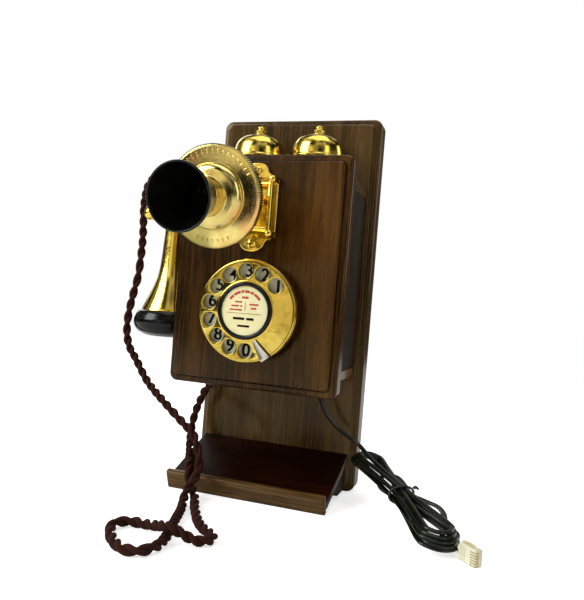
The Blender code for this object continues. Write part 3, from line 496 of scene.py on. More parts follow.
def board(w, h, t, ease=0.8, r=1.0):
    """A plain board with eased edges and corners."""
    back = [(inset, ease - z) for inset, z in reversed(over(0, 0, ease, ease, 3))]
    return moulded(w, h, r, back + over(0, t - ease, ease, t, 3), 4)


def carve(bm, *cutters):
    """The mesh with these meshes cut out of it, as an object."""
    ob = object_of("carved", bm)
    tools = [object_of("carved", cutter) for cutter in cutters]
    for tool in tools:
        mod = ob.modifiers.new("cut", "BOOLEAN")
        mod.operation, mod.solver, mod.object = "DIFFERENCE", "EXACT", tool
    data = evaluated(ob)
    ob.modifiers.clear()
    ob.data = data
    for tool in tools:
        bpy.data.objects.remove(tool)
    return ob


def brick(low, high):
    """A plain block from its lowest corner to its highest one."""
    bm = bmesh.new()
    bmesh.ops.create_cube(bm, size=1.0)
    low, high = Vector(low), Vector(high)
    bmesh.ops.scale(bm, vec=(high - low) * MM, verts=bm.verts)
    bmesh.ops.translate(bm, vec=(low + high) * 0.5 * MM, verts=bm.verts)
    return bm


def moved(bm, place):
    bm.transform(place)
    return bm


def merged(*meshes):
    """Several meshes as one."""
    made = bmesh.new()
    for bm in meshes:
        data = bpy.data.meshes.new("part")
        bm.to_mesh(data)
        bm.free()
        made.from_mesh(data)
        bpy.data.meshes.remove(data)
    return made


def plate(outlines, thickness, edge=0.0, turns=2):
    """A flat plate with holes: outlines filled between, its back at zero, its edges eased."""
    data = bpy.data.curves.new("plate", "CURVE")
    data.dimensions, data.fill_mode = "2D", "BOTH"
    data.extrude, data.bevel_depth = (thickness / 2 - edge) * MM, edge * MM
    data.bevel_resolution = turns
    for outline in outlines:
        spline = data.splines.new("POLY")
        spline.points.add(len(outline) - 1)
        for point, (x, y) in zip(spline.points, outline):
            point.co = (x * MM, y * MM, 0, 1)
        spline.use_cyclic_u = True
    return curve_mesh(data, at(0, 0, thickness / 2))


def curve_mesh(data, place):
    """A bmesh from a curve or a text, its doubled points joined."""
    ob = linked("outline", data)
    mesh = evaluated(ob)
    bpy.data.objects.remove(ob)
    bm = bmesh.new()
    bm.from_mesh(mesh)
    bpy.data.meshes.remove(mesh)
    bmesh.ops.remove_doubles(bm, verts=bm.verts, dist=0.000002)
    bm.transform(place)
    return bm


def arc(radius, first, last, step, cx=0.0, cy=0.0):
    """Points on a circle from one angle up to another, in degrees, the last one left out."""
    return [(cx + radius * cos(radians(a)), cy + radius * sin(radians(a)))
            for a in range(first, last, step)]


def ring_of(radius, count=64, cx=0.0, cy=0.0):
    return [(cx + radius * cos(TAU * i / count), cy + radius * sin(TAU * i / count))
            for i in range(count)]


def frames(path):
    """A direction and two steady side vectors for every point of a path."""
    made, side = [], None
    for i in range(len(path)):
        ahead = (path[min(i + 1, len(path) - 1)] - path[max(i - 1, 0)]).normalized()
        if side is None:
            side = ahead.orthogonal().normalized()
        side = (side - ahead * side.dot(ahead)).normalized()
        made.append((ahead, side, ahead.cross(side)))
    return made


def tube(path, rx, ry=None, sides=12, level=False, shape=None):
    """A tube along a path in millimetres. level keeps the wide side of an oval one flat;
    shape(share) scales its radius along the way."""
    ry = ry or rx
    bm = bmesh.new()
    uv = bm.loops.layers.uv.new("along")
    rows, run = [], [0.0]
    for a, b in zip(path, path[1:]):
        run.append(run[-1] + (b - a).length / 100)
    for i, (point, (ahead, side, other)) in enumerate(zip(path, frames(path))):
        if level:
            side = Vector((0, 0, 1)).cross(ahead)
            side = side.normalized() if side.length > 0.2 else level
            other = ahead.cross(side).normalized()
            side = other.cross(ahead)
        k = shape(i / (len(path) - 1)) if shape else 1.0
        rows.append([bm.verts.new((point + side * (rx * k * cos(TAU * j / sides))
                                   + other * (ry * k * sin(TAU * j / sides))) * MM)
                     for j in range(sides)])
    for i in range(len(rows) - 1):
        for j in range(sides):
            n = (j + 1) % sides
            face = bm.faces.new((rows[i][j], rows[i][n], rows[i + 1][n], rows[i + 1][j]))
            for loop, (u, v) in zip(face.loops, ((j, i), (j + 1, i), (j + 1, i + 1), (j, i + 1))):
                loop[uv].uv = (u / sides, run[v])
    bm.faces.new(list(reversed(rows[0])))
    bm.faces.new(rows[-1])
    return bm


def even(points, step):
    """The same path with its points a steady step apart, in millimetres."""
    made, left = [points[0]], step
    for a, b in zip(points, points[1:]):
        length = (b - a).length
        while left <= length:
            made.append(a.lerp(b, left / length))
            left += step
        left -= length
    if (made[-1] - points[-1]).length < step * 0.4:
        made.pop()
    return made + [points[-1]]


def slotted(radius, dome, slot=0.9, depth=0.8):
    """A slotted screw head about its own Z, its flat underside at zero."""
    head = lathe(runs([(0, dome), (radius * 0.55, dome * 0.86), (radius * 0.88, dome * 0.42),
                       (radius, dome * 0.12)], (radius * 0.96, 0), (0, 0)), 48)
    groove = brick((-radius * 1.2, -slot / 2, dome - depth), (radius * 1.2, slot / 2, dome + 2))
    return mesh_of(carve(head, groove))


# ================================================================ camera, light and floor
def camera():
    """The camera the whole scene is seen from, in metres."""
    data = bpy.data.cameras.new("photo_view")
    data.sensor_width, data.lens, data.clip_start, data.shift_y = 36.0, 38.42, 0.01, 0.0064
    ob = linked("photo_view", data)
    right = Vector((0.9466, 0.3123, 0.0799)).normalized()
    up = Vector((-0.0759, -0.0250, 0.9968))
    back = right.cross(up).normalized()
    turn = Matrix((right, back.cross(right), back)).transposed().to_4x4()
    ob.matrix_world = Matrix.Translation((0.1791, -0.5293, 0.1537)) @ turn
    bpy.context.scene.camera = ob


def softbox(name, place, target, size, power, colour=(1, 1, 1)):
    """A rectangular light: places and sizes in metres, power in watts."""
    data = bpy.data.lights.new(name, "AREA")
    data.shape, data.size, data.size_y = "RECTANGLE", size[0], size[1]
    data.energy, data.color = power, colour
    ob = linked(name, data)
    ob.location = place
    ob.rotation_euler = (Vector(target) - Vector(place)).to_track_quat("-Z", "Y").to_euler()


def studio():
    """A white room to the eye; what polished metal mirrors is a softer, mottled one."""
    world = bpy.data.worlds.new("studio")
    bpy.context.scene.world = world
    world.use_nodes = True
    tree = world.node_tree
    tree.nodes.clear()
    coords = node(tree, "TexCoord").outputs["Generated"]
    height = node(tree, "SeparateXYZ", {"Vector": coords}).outputs["Z"]
    level = plus(tree, times(tree, height, 0.5), 0.5)
    room = ramp(tree, level, (0.0, (0.50, 0.47, 0.38)), (0.45, (0.30, 0.28, 0.20)),
                (0.50, (0.24, 0.22, 0.155)), (0.60, (0.42, 0.41, 0.35)), (1.0, (0.85, 0.87, 0.88)))
    patches = ramp(tree, speckle(tree, coords, 3.1, 2.0, 0.5, 0.5), (0.45, 0.03), (0.55, 1.9))
    room = mixed(tree, 1.0, room, patches, "MULTIPLY")
    seen = node(tree, "Background", {"Color": WHITE, "Strength": 1.0})
    lit = node(tree, "Background", {"Color": room, "Strength": 0.42})
    eye = node(tree, "LightPath").outputs["Is Camera Ray"]
    both = node(tree, "MixShader", {0: eye, 1: lit.outputs[0], 2: seen.outputs[0]})
    out = tree.nodes.new("ShaderNodeOutputWorld")
    tree.links.new(both.outputs[0], out.inputs["Surface"])

    middle = (0, -0.05, 0.15)
    softbox("key_left_front", (-1.10, -1.00, 0.95), middle, (0.95, 0.95), 24, (0.97, 0.99, 1.0))
    softbox("strip_front", (-0.30, -1.35, 0.40), middle, (0.45, 1.1), 1.3, (1.0, 0.90, 0.66))
    softbox("fill_right", (1.25, -0.75, 0.50), (0.02, -0.05, 0.14), (0.35, 1.2), 2.6,
            (1.0, 0.95, 0.80))
    softbox("over_head", (0.1, -0.15, 1.35), (0, -0.05, 0.1), (1.0, 1.0), 4.5)
    softbox("behind_left", (-0.9, 0.9, 0.7), (0, 0, 0.15), (0.6, 0.8), 3.5)
    softbox("behind_right", (1.0, 0.9, 0.6), (0, 0, 0.15), (0.6, 0.8), 3.0)

    bpy.ops.mesh.primitive_plane_add(size=2.6, location=(0, 0, -0.0002))
    floor = bpy.context.object
    floor.name = "floor"
    made, tree, surface = start("pale_floor")
    tone = mixed(tree, speckle(tree, place_of(tree), 6.0), (0.93, 0.93, 0.925), (0.96, 0.96, 0.96))
    glow = times(tree, node(tree, "LightPath").outputs["Is Camera Ray"], 0.62)
    fill(tree, surface, {"Base Color": tone, "Roughness": 0.8, "Emission Color": WHITE,
                         "Emission Strength": glow})
    floor.data.materials.append(made)
    bpy.context.scene.view_settings.view_transform = "Standard"


camera()
studio()


# ================================================================ places shared by several pieces
DIAL_X, DIAL_Z, DIAL_BACK, DIAL_DEPTH = 0.9, 145.9, -80.3, 16.5
MOUTH_X, BRACKET_Z, FACE = -4.0, 223.8, 51.9
PIVOT_Y, PIVOT_Z, PIVOT_TILT = -104, 228.1, 100.5


# ================================================================ cords
RECEIVER_ROUTE = [
    (-97, -30, 243.3), (-97, -30, 247.6), (-99.2, -30.4, 253.4), (-107, -31.8, 258),
    (-114.5, -33.2, 258), (-121.6, -34.6, 254), (-125.6, -35.6, 247), (-127, -36.6, 238),
    (-126.6, -38, 226), (-125, -39, 210), (-124, -40, 195), (-124.2, -42, 169), (-126.4, -44, 152),
    (-128.4, -46, 133.5), (-127.6, -47.4, 118), (-123.4, -48.4, 106), (-115, -50, 96),
    (-101, -53, 79.5), (-83.4, -58, 67), (-61.5, -65, 54), (-45.4, -71.2, 45), (-37, -77.5, 34.6),
    (-32.6, -82.6, 23.6), (-32.4, -89.2, 15.4), (-33.6, -97, 9.6), (-31, -108, 4.6), (-25.5, -121, 3.5),
    (-18, -144, 3.5), (-12.5, -161, 3.5), (-7.5, -176, 3.5), (-5.8, -189, 3.5), (-11, -200.6, 3.5),
    (-22, -201.4, 3.5), (-34, -192.6, 3.5), (-44, -180, 3.5), (-47.6, -168.6, 3.5), (-42, -161.5, 3.6),
    (-31.5, -161.6, 3.9), (-18.5, -168, 7), (-7.4, -175.4, 10.7), (2.4, -173.4, 7.8), (9.6, -171, 4.2),
    (16, -166.4, 3.5), (17, -159.2, 3.5), (11.4, -153.4, 3.5), (3, -146.4, 3.5), (-5.5, -135.6, 3.5),
    (-14.6, -120.6, 3.5), (-21.5, -108.6, 3.5), (-27, -97, 3.8), (-34, -86.4, 5.4),
    (-40.5, -80.6, 10.4), (-43.6, -78, 18), (-46.4, -71.5, 21.6), (-49.4, -65, 20.6), (-55, -55, 20),
    (-61.5, -42, 22.6), (-67.6, -31, 30), (-69.6, -25, 42), (-67.4, -23.4, 56), (-60, -26.4, 72),
    (-53, -29, 82), (-50, -30, 90), (-50, -30, 95.2)]
STRAND_R, STRAND_OFF, LAY_LENGTH = 1.9, 1.66, 18.6
CORD_STEP, LINE_STEP = 1.7, 2.0


def receiver_cord():
    """Two braided strands laid together, a little closer together at the cord's two ends."""
    first, *middle, last = RECEIVER_ROUTE
    path = even([Vector(first)] + curve(middle, 14) + [Vector(last)], CORD_STEP)
    sides = frames(path)
    strands = []
    for k in (0, 1):
        line, angle = [], k * pi
        for i, (point, (_, side, other)) in enumerate(zip(path, sides)):
            uneven = 1 + 0.22 * sin(i * 0.061) + 0.10 * sin(i * 0.23 + 1)
            angle += TAU * CORD_STEP / LAY_LENGTH * uneven
            ends = min(1.0, i / 4, (len(path) - 1 - i) / 4)
            off = STRAND_OFF * (0.55 + 0.45 * ends)
            line.append(point + side * (off * cos(angle)) + other * (off * sin(angle)))
        strands.append(tube(line, STRAND_R, shape=lambda t, k=k: 1 + 0.035 * sin(t * 260 + 2 * k)))
    ob = piece("receiver_cord_twisted", merged(*strands), COTTON, None, "receiver_cord")
    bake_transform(ob)


LINE_ROUTE = [(43, -30, 95.2), (43, -30, 90), (43.4, -29.4, 86), (44.6, -28, 78), (49, -25, 67.6),
              (57, -21.4, 57.4), (66, -20, 51.2), (76.5, -20.2, 45.4)]
HANK_TOP, HANK_END = Vector((82, -17, 36)), Vector((154, -103.6, 10.3))
PLUG, PLUG_TURN = Vector((171.0, -108.6, 5.6)), radians(-44)
LINE_W, LINE_T = 4.3, 2.8


def hank_place():
    """The hank's own frame: X along it, Y level across it, Z out of its flat side."""
    along = (HANK_END - HANK_TOP).normalized()
    across = Vector((0, 0, 1)).cross(along).normalized()
    turn = Matrix((along, across, along.cross(across))).transposed().to_4x4()
    return Matrix.Translation((HANK_TOP + HANK_END) / 2) @ turn


def hank_route(place):
    """Four and a half turns, each a little longer and wider than the one above it."""
    points = [(-44, -4, 6.2), (-26, -2, 5.4)]
    # Each turn's reach, half its width at its ends and at its waist, and its height.
    turns = ((57, 9.6, 1.6, 4.3), (59.5, 11.4, 5.6, 2.1), (61.5, 13.0, 2.6, 0.0), (63, 11.8, 6.4, -2.1),
             (63.5, 13.4, 3.0, -4.2))
    points.append((0, turns[0][2], turns[0][3]))

    def half_turn(way, centre, width, waist):
        """Out from the waist, round one end of the hank and back."""
        round_end = [(way * (centre + width * sin(radians(a))), way * width * cos(radians(a)))
                     for a in (35, 70, 110, 145)]
        slack = (width + waist) * 0.46
        return ([(way * centre * 0.5, way * slack), (way * centre, way * width)] + round_end
                + [(way * centre, -way * width), (way * centre * 0.5, -way * slack)])

    for i, (reach, width, waist, z) in enumerate(turns):
        centre = reach - width
        points += [(x + 0.3 * sin(3.1 * i + j), y + 0.25 * cos(2.3 * i + j), z)
                   for j, (x, y) in enumerate(half_turn(1, centre, width, waist))]
        points.append((0, -waist, z - 0.3))
        if i == len(turns) - 1:
            break
        after = turns[i + 1]
        drop = after[3] - z
        points += [(x + 0.3 * sin(2.1 * i + j), y + 0.25 * cos(3.3 * i + j),
                    z + drop * min(1.0, max(0.0, (j - 1) / 5)))
                   for j, (x, y) in enumerate(half_turn(-1, centre, width, waist))]
        points.append((0, after[2], after[3]))
    points += [(-14, -6.5, -4.4), (-26, -2.0, -4.6), (-33, 6.0, -4.2), (-28, 14.0, -3.0),
               (-14, 13.0, -2.6), (0, 9.6, -1.5), (13, 13.5, 0.5), (22, 18.0, 1.2), (29, 19.0, -0.4),
               (34.5, 16.6, -4.0), (40, 12.0, -7.0), (47, 9.0, -7.8), (54, 7.6, -6.6)]
    return [place @ Vector(p) for p in points]


def line_cord():
    place = hank_place()
    ahead = Vector((cos(PLUG_TURN), sin(PLUG_TURN), 0))
    rear = PLUG - ahead * 8.6
    controls = [Vector(p) for p in LINE_ROUTE[1:]] + hank_route(place) + [rear - ahead * 4.0, rear]
    path = even([Vector(LINE_ROUTE[0])] + curve(controls, 10), LINE_STEP)
    bm = tube(path, LINE_W / 2, LINE_T / 2, sides=14, level=Vector((1, 0, 0)))
    ob = piece("line_cord_wound", bm, PVC, "root", ("line_cord", "line_cord_hank"))
    tie, around = [], 28
    for i in range(2 * around + 1):
        a = TAU * i / around
        along = 1.5 + 1.4 * i / (2 * around) + 0.5 * sin(2 * a)
        tie.append(place @ Vector((along, 10.3 * cos(a), 6.6 * sin(a))))
    tails = [[place @ Vector(p) for p in curve(tail, 5)]
             for tail in ([(2.2, 9.4, 4.6), (3.6, 10.8, 5.6), (5.6, 11.0, 5.8)],
                          [(1.4, 9.4, 4.6), (0.6, 11.4, 5.2), (1.8, 13.0, 4.8)])]
    band = piece("line_cord_tie", merged(*[tube(t, 0.75, 0.6, 8) for t in [tie] + tails]), RUBBER,
                 "root")
    return ob, path, band


def plug():
    """A small six-way plug: ribbed grip, latch arm along one side, contact slots in its nose."""
    place = Matrix.Translation(PLUG * MM) @ spun(degrees(PLUG_TURN)) @ spun(90, "X") @ TO_RIGHT
    ways, pitch = range(6), 1.62
    body = moulded(11.0, 6.4, 0.9, [(0.5, -7.5), (0.0, -7.0), (0.0, 6.9), (0.3, 7.3), (0.7, 7.5)], 4)
    slots = [brick((-4.9 + pitch * i, 0.2, 3.2), (-4.1 + pitch * i, 4.0, 9.0)) for i in ways]
    grips = [brick((-6, low, -5.6 + 1.3 * i), (6, high, -5.0 + 1.3 * i))
             for low, high in ((-4.4, -2.85), (2.85, 4.4)) for i in range(4)]
    rear = brick((-3.2, -1.9, -9), (3.2, 1.9, -6.2))
    shell = piece("line_plug_shell", carve(body, rear, *slots, *grips), IVORY, "root",
                  "line_plug", place=place, edge=0.12)
    blades = merged(*[brick((-4.72 + pitch * i, 0.6, 4.0), (-4.28 + pitch * i, 2.7, 7.2)) for i in ways])
    blades = piece("line_plug_contacts", blades, BRASS_CAST, "root", place=place, edge=0.05)
    arm = curve([(5.9, 0.0, -6.8), (6.7, 0, -4), (7.1, 0, 0), (6.6, 0, 4.4), (5.4, 0, 6.6)], 5)
    latch = piece("line_plug_latch", tube(arm, 1.5, 0.45, 8), IVORY, "root", place=place,
                  flat=50)
    sleeve = lathe([(2.0, 0), (3.4, 0), (3.3, -1.2), (2.9, -1.3), (3.2, -2.4), (2.8, -2.5), (2.6, -3.2),
                    (2.0, -3.2)], 24, ring=True)
    sleeve.transform(Matrix.Diagonal((1.0, 0.62, 1.0, 1.0)))
    sleeve = piece("line_plug_sleeve", sleeve, IVORY, "root",
                   place=place @ at(0, 0, -7.4), flat=35)
    return [shell, blades, latch, sleeve]


receiver_cord()
line, line_path, line_tie = line_cord()
[line_tie] + plug()


# ================================================================ woodwork
BOARD_BACK, DOOR_BACK, DOOR_Z = 15.0, -64.3, 175.9
BOX_W, BOX_DEEP, BOX_Y, PLANK = 128, 57.7, -35.15, 8
HANGERS = (("upper", 288), ("lower", 40))
HINGES = (("upper", 226.0), ("lower", 112.0))
CORD_Y = -30


def keyhole():
    return arc(4.6, 125, 416, 15, 0, -5) + arc(2.2, 0, 181, 20, 0, 7)


def keyhole_cut():
    """A pocket in the back for the hanger, and room behind its hole for the wall screw."""
    return merged(moved(plate([rounded(17.6, 40.6, 3.2, 6)], 4), at(0, 0, -2.2)),
                  moved(plate([rounded(12, 26, 5, 6)], 9), at(0, 0, -8)))


def bore(radius, deep, steps, place):
    """A plain round cutter."""
    return moved(lathe([(0, deep), (radius, deep), (radius, 0), (0, 0)], steps), place)


def backboard():
    """Eased back, thumbnail edge, a small flat, then a cove up to the field; two hangers behind."""
    steps = [(1.0, 0.0), (0.3, 0.3), (0.0, 1.0)] + over(0, 13.6, 1.7, 15.9, 5)
    steps += [(2.2, 16.1), (2.5, 16.9)] + cove(2.9, 17.0, 5.9, 19.9, 6) + [(6.0, 20.5), (6.5, 21.0)]
    pockets = merged(*[moved(keyhole_cut(), at(0, BOARD_BACK, z, TO_BACK)) for _, z in HANGERS])
    ob = carve(moved(moulded(143.5, 313.6, 7, steps, 10, 0.35), at(0, BOARD_BACK, 156.8, TO_FRONT)),
               pockets)
    piece("backboard_wood", ob, BOARD_WOOD, "root", "backboard", edge=0.18)
    for name, z in HANGERS:
        hanger = plate([rounded(17, 40, 3, 6), keyhole()], 0.9, 0.15, 1)
        heads = [moved(slotted(3.2, 1.2, slot=0.8, depth=0.6), at(0, y, 0.9)) for y in (-16, 16)]
        piece("wall_hanger_" + name, merged(hanger, *heads), BRASS_CAST, "root",
              place=at(0, 12.9, z, TO_BACK), flat=40)


def box():
    """Four planks, with the slots for the hook, the clapper and the two cords."""
    side, side_z, side_x = board(BOX_DEEP, 139.9, PLANK), 175.25, 56
    left = carve(moved(side, at(-side_x, BOX_Y, side_z, TO_LEFT)),
                 brick((-70, -34.5, 217.8), (-50, -25.5, 237.8)))
    piece("box_left_wood", left, BOX_WOOD, "root", "box_side_left", edge=0.25)
    piece("box_right_wood", board(BOX_DEEP, 139.9, PLANK), BOX_WOOD, "root", "box_side_right",
          place=at(side_x, BOX_Y, side_z, TO_RIGHT), edge=0.25)
    slit = brick((-6, -32.5, 240), (6, -24.5, 260))
    top = carve(moved(board(BOX_W, BOX_DEEP, PLANK), at(0, BOX_Y, 245.5)), slit)
    piece("box_top_wood", top, LIP_WOOD, "root", "box_top", edge=0.25)
    holes = [bore(r, 20, 32, at(x, CORD_Y, 90)) for x, r in ((-50, 5.0), (43, 4.0))]
    bottom = carve(moved(board(BOX_W, BOX_DEEP, PLANK), at(0, BOX_Y, 97.0)), *holes)
    piece("box_bottom_wood", bottom, LIP_WOOD, "root", "box_bottom", edge=0.25)


def door():
    """Rounded outer edge, a quirk, and a raised field with an ovolo round it."""
    steps = [(0.8, 0.0), (0.2, 0.2), (0.0, 0.8)] + over(0, 8.7, 2.4, 11.7, 7)
    steps += [(4.5, 11.95), (4.8, 12.0), (5.0, 11.5), (5.35, 11.4), (5.5, 12.2)]
    steps += over(5.5, 13.6, 7.1, 15.7, 5)
    mortises = [brick((-72, -66.0, z), (-49.7, -60, z + 12.6)) for _, z in HINGES]
    ob = carve(moved(moulded(136.9, 179.8, 6, steps, 10, 0.35), at(0, DOOR_BACK, DOOR_Z, TO_FRONT)),
               bore(27, 40, 64, at(DIAL_X, -50, DIAL_Z, TO_FRONT)),
               bore(4, 40, 32, at(MOUTH_X, -50, 225, TO_FRONT)), *mortises)
    piece("door_wood", ob, DOOR_WOOD, "door", "door", edge=0.15)


def shelf():
    """The sloping shelf, its lip at right angles to it, and a bracket under each end."""
    base = at(0.6, -6.3, 32.6) @ spun(21.0, "X")
    ob = carve(moved(board(131, 69.8, 6, 0.7), base @ at(0, -31.1, -6)),
               brick((-90, -6.3, -10), (90, 20, 60)))
    piece("shelf_wood", ob, SHELF_WOOD, "root", "shelf_board", edge=0.2)
    steps = [(1.2, 0.0), (0.35, 0.35), (0.0, 1.2)] + over(0, 3.2, 2.0, 5.2, 5)
    lip = carve(moved(moulded(131, 15.6, 1.4, steps), base @ at(0, -66.3, -0.6, TO_FRONT)),
                brick((-90, -100, -20), (90, 0, 0)))
    piece("shelf_lip_wood", lip, LIP_WOOD, "root", "shelf_lip", edge=0.3)
    outline = [(-6.6, 3.0), (-6.6, 24.6), (-46.0, 9.3), (-44.0, 7.2)]
    outline += [(-44 + 19 * sin(radians(a)), 7.2 - 4.2 * (1 - cos(radians(a))))
                for a in range(6, 91, 6)]
    for side, x in (("left", -58.9), ("right", 60.1)):
        piece("shelf_bracket_wood_" + side, plate([outline], PLANK, 0.5), BOX_WOOD, "root",
              "shelf_bracket_" + side, place=at(x - PLANK / 2, 0, 0, TO_RIGHT), flat=40)


backboard()
box()
door()
shelf()


# ================================================================ gongs and ringer
GONG_X, WORKS_Y = 25.5, -28.5


def bells():
    """The gongs with their posts and nuts, and the clapper between them."""
    top, foot = 292.5, 253.8
    outer = [[(2.6, 0), (6, -0.2), (10.5, -1.2), (14.5, -2.9), (17.4, -5.2), (19.3, -8.2),
              (20.3, -11.5), (20.8, -15), (21.0, -18.2)],
             [(21.5, -18.9), (21.7, -19.6), (21.5, -20.5)]]
    inner = [[(20.1, -20.5), (19.4, -17.5), (18.9, -11), (16.6, -6.8), (12.6, -3.6),
              (8, -2.0), (2.6, -1.5)]]
    for side, x in (("left", -GONG_X), ("right", GONG_X)):
        piece("gong_bright_" + side, lathe(raised(top, runs(*outer, *inner)), 128, ring=True), BRASS,
              "root", "gong_" + side, place=at(x, WORKS_Y, 0), flat=50)
        post = runs((0, top + 3), (2.2, top + 3), (2.2, top - 1.9), (4.4, top - 1.9), (4.4, top - 3.2),
                    [(3.3, top - 3.6), (3.0, top - 8), (3.1, foot + 10), (4.2, foot + 5.5),
                     (5.2, foot + 4.6)], [(7.0, foot + 3.8), (7.4, foot + 2.4), (7.2, foot + 1.2)],
                    (8.0, foot + 1.0), (8.0, foot), (0, foot))
        piece("gong_post_turned_" + side, lathe(post, 48), BRASS, "root", "gong_post_" + side,
              place=at(x, WORKS_Y, 0), flat=40)
        washer = lathe([(2.4, 0.8), (4.7, 0.8), (4.9, 0.5), (4.9, 0), (2.4, 0)], 40, ring=True)
        hexagon = lathe([(2.2, 4.0), (3.9, 4.0), (4.3, 3.6), (4.3, 1.2), (3.9, 0.8), (2.2, 0.8)],
                        6, ring=True)
        knob = lathe(runs([(0, 7.6), (1.5, 7.5), (2.7, 6.7), (3.1, 5.6), (2.8, 4.6)], (2.5, 4.0),
                          (0, 4.0)), 40)
        nut = moved(merged(washer, hexagon, knob), at(0, 0, top + 0.3))
        piece("gong_nut_turned_" + side, nut, BRASS, "root",
              "gong_nut_" + side, place=at(x, WORKS_Y, 0, UP, 11), edge=0.14, angle=35)

    rod = tube([Vector((0, WORKS_Y, z)) for z in (235.2, 245, 255, 265, 274)], 0.85, sides=14)
    ball = lathe(runs([(0, 277.2), (1.2, 276.9), (2.2, 276.0), (2.45, 274.6), (2.2, 273.1), (1.4, 272.2),
                       (1.15, 271.8)], [(1.5, 271.2), (1.5, 270.4), (0.8, 269.8)], (0, 269.8)), 40)
    piece("clapper_turned", merged(rod, moved(ball, at(0, WORKS_Y, 0))), BRASS, "clapper",
          "clapper", flat=40)


def wire_turns(core, swell, start, count):
    """The side of a close winding, every second point of it a little further out."""
    return [(core + swell * (k % 2), start - 0.5 * k) for k in range(count)]


def ringer():
    """Two coils on a yoke under the box's top, and the armature that carries the clapper."""
    for side, x in (("left", -15.0), ("right", 15.0)):
        flanges = merged(*[lathe([(0, z), (9.2, z), (9.5, z - 0.3), (9.5, z - 1.7), (9.2, z - 2),
                                  (0, z - 2)], 48) for z in (226, 196)])
        piece("ringer_bobbin_" + side, flanges, FIBRE, "root", place=at(x, WORKS_Y, 0), flat=40)
        coil = lathe([(0, 224)] + wire_turns(7.5, 0.22, 224, 57) + [(0, 196)], 48)
        piece("ringer_winding_" + side, coil, COPPER, "root", "ringer_coil_" + side,
              place=at(x, WORKS_Y, 0), flat=80)
    yoke = merged(moved(board(52, 19, 3.6, 0.4, 2.0), at(0, WORKS_Y, 190)),
                  moved(board(52, 48, 3, 0.4, 2.0), at(0, -15, 216, TO_FRONT)))
    screws = [moved(slotted(2.6, 1.1, slot=0.6, depth=0.5), at(x, -18.0, z, TO_FRONT, 20 * x))
              for z in (236, 198) for x in (-21, 21)]
    piece("ringer_yoke", merged(yoke, *screws), STEEL, "root", "ringer_frame", flat=35)
    arm = merged(moved(board(48, 9, 2.6, 0.3, 1.5), at(0, WORKS_Y, 227.2)),
                 moved(board(7, 5, 6, 0.4, 1.0), at(0, WORKS_Y, 229)),
                 moved(lathe([(0, 18), (1.0, 18), (1.1, 17.8), (1.1, 0), (0, 0)], 24),
                       at(0, -12.4, 233, TO_FRONT)))
    piece("ringer_armature_ground", arm, STEEL, "clapper", "ringer_armature", flat=35)


bells()
ringer()


# ================================================================ works inside the box
LOOMS = (
    ((-50, -30, 104), (-49.5, -29, 109), (-40, -30, 113), (-18, -26, 112.6), (4, -23.4, 113.6),
     (8, -21.4, 119)),
    ((-50.8, -31, 104), (-51, -34, 112), (-44, -38, 116), (-22, -36, 114), (8, -28, 113.4),
     (17, -21.6, 119)),
    ((43, -30, 104), (43, -29, 108), (38, -26, 112), (27, -23.2, 114), (26, -21.4, 119)),
    ((43.6, -31, 104), (46, -31, 109), (46, -27, 113), (44, -22.6, 116), (44, -21.4, 119)),
    ((35, -21.4, 129), (35, -22.6, 136), (30, -22.4, 146), (20, -20, 151), (16, -20, 155)),
    ((17, -21.4, 129), (16, -24, 138), (2, -22, 150), (-8, -20, 168), (-13, -24, 188),
     (-15, -28, 194)),
    ((-20, -33, 130), (-14, -36, 140), (-6, -30, 160), (8, -26, 180), (15, -28, 193.8)),
    ((26, -21.4, 129), (24, -26, 140), (6, -30, 158), (-22, -26, 178), (-31, -20, 198)))
WIRE_COLOURS = ((0.42, 0.05, 0.03), (0.55, 0.40, 0.10), (0.05, 0.16, 0.08), (0.06, 0.09, 0.28))


def works():
    """Induction coil, condenser, terminal strip, and the wires between them."""
    coil_place = at(12, -20, 160, TO_RIGHT)
    bobbin = lathe([(0, 42), (8.8, 42), (9, 41.8), (9, 40.2), (8.8, 40), (6.4, 40), (6.4, 2), (8.8, 2),
                    (9, 1.8), (9, 0.2), (8.8, 0), (0, 0)], 48)
    piece("induction_bobbin", bobbin, FIBRE, "root", place=coil_place, flat=40)
    wound = lathe([(6.4, 40)] + wire_turns(6.9, 0.2, 39.9, 76) + [(6.4, 2)], 48, ring=True)
    piece("induction_winding", wound, COPPER, "root", "induction_coil",
          place=coil_place, flat=80)
    can = moulded(42, 24, 2.0, [(1.2, 0.0), (0.4, 0.3), (0, 1.2)] + over(0, 23.4, 1.4, 25, 4))
    rim = moulded(42.6, 24.6, 2.2, [(0.3, 1.6), (0, 1.8), (0, 3.0), (0.3, 3.2)])
    piece("condenser_can", merged(can, rim), STEEL, "root", "condenser",
          place=at(-29, -9, 130, TO_FRONT), flat=30)
    terminals, terminal_pitch, strip_z = 5, 9, 124
    gaps = [brick((11.2 + terminal_pitch * i, -24, 117.5), (12.8 + terminal_pitch * i, -17.5, 130.5))
            for i in range(terminals - 1)]
    strip = carve(moved(board(48, 16, 12, 0.8, 1.0), at(26, -8, strip_z, TO_FRONT)), *gaps)
    piece("terminal_strip", strip, EBONITE, "root", "terminal_block", edge=0.3)
    heads = [moved(slotted(2.9, 1.9, slot=0.8, depth=0.8),
                   at(8 + terminal_pitch * i, -20.0, strip_z, TO_FRONT, 33 * i))
             for i in range(terminals)]
    piece("terminal_screws", merged(*heads), BRASS_CAST, "root", flat=40)
    for i, (r, g, b) in enumerate(WIRE_COLOURS):
        name = "wire_cotton_%d" % (i + 1)
        cloth = plastic(name, (r, g, b), (r * 1.3, g * 1.3, b * 1.3), rough=0.65, scale=1200.0)
        leads = [tube(curve(loom, 6), 0.8, sides=8) for loom in LOOMS[i::4]]
        piece("inner_wires_%d" % (i + 1), merged(*leads), cloth, "root")


works()


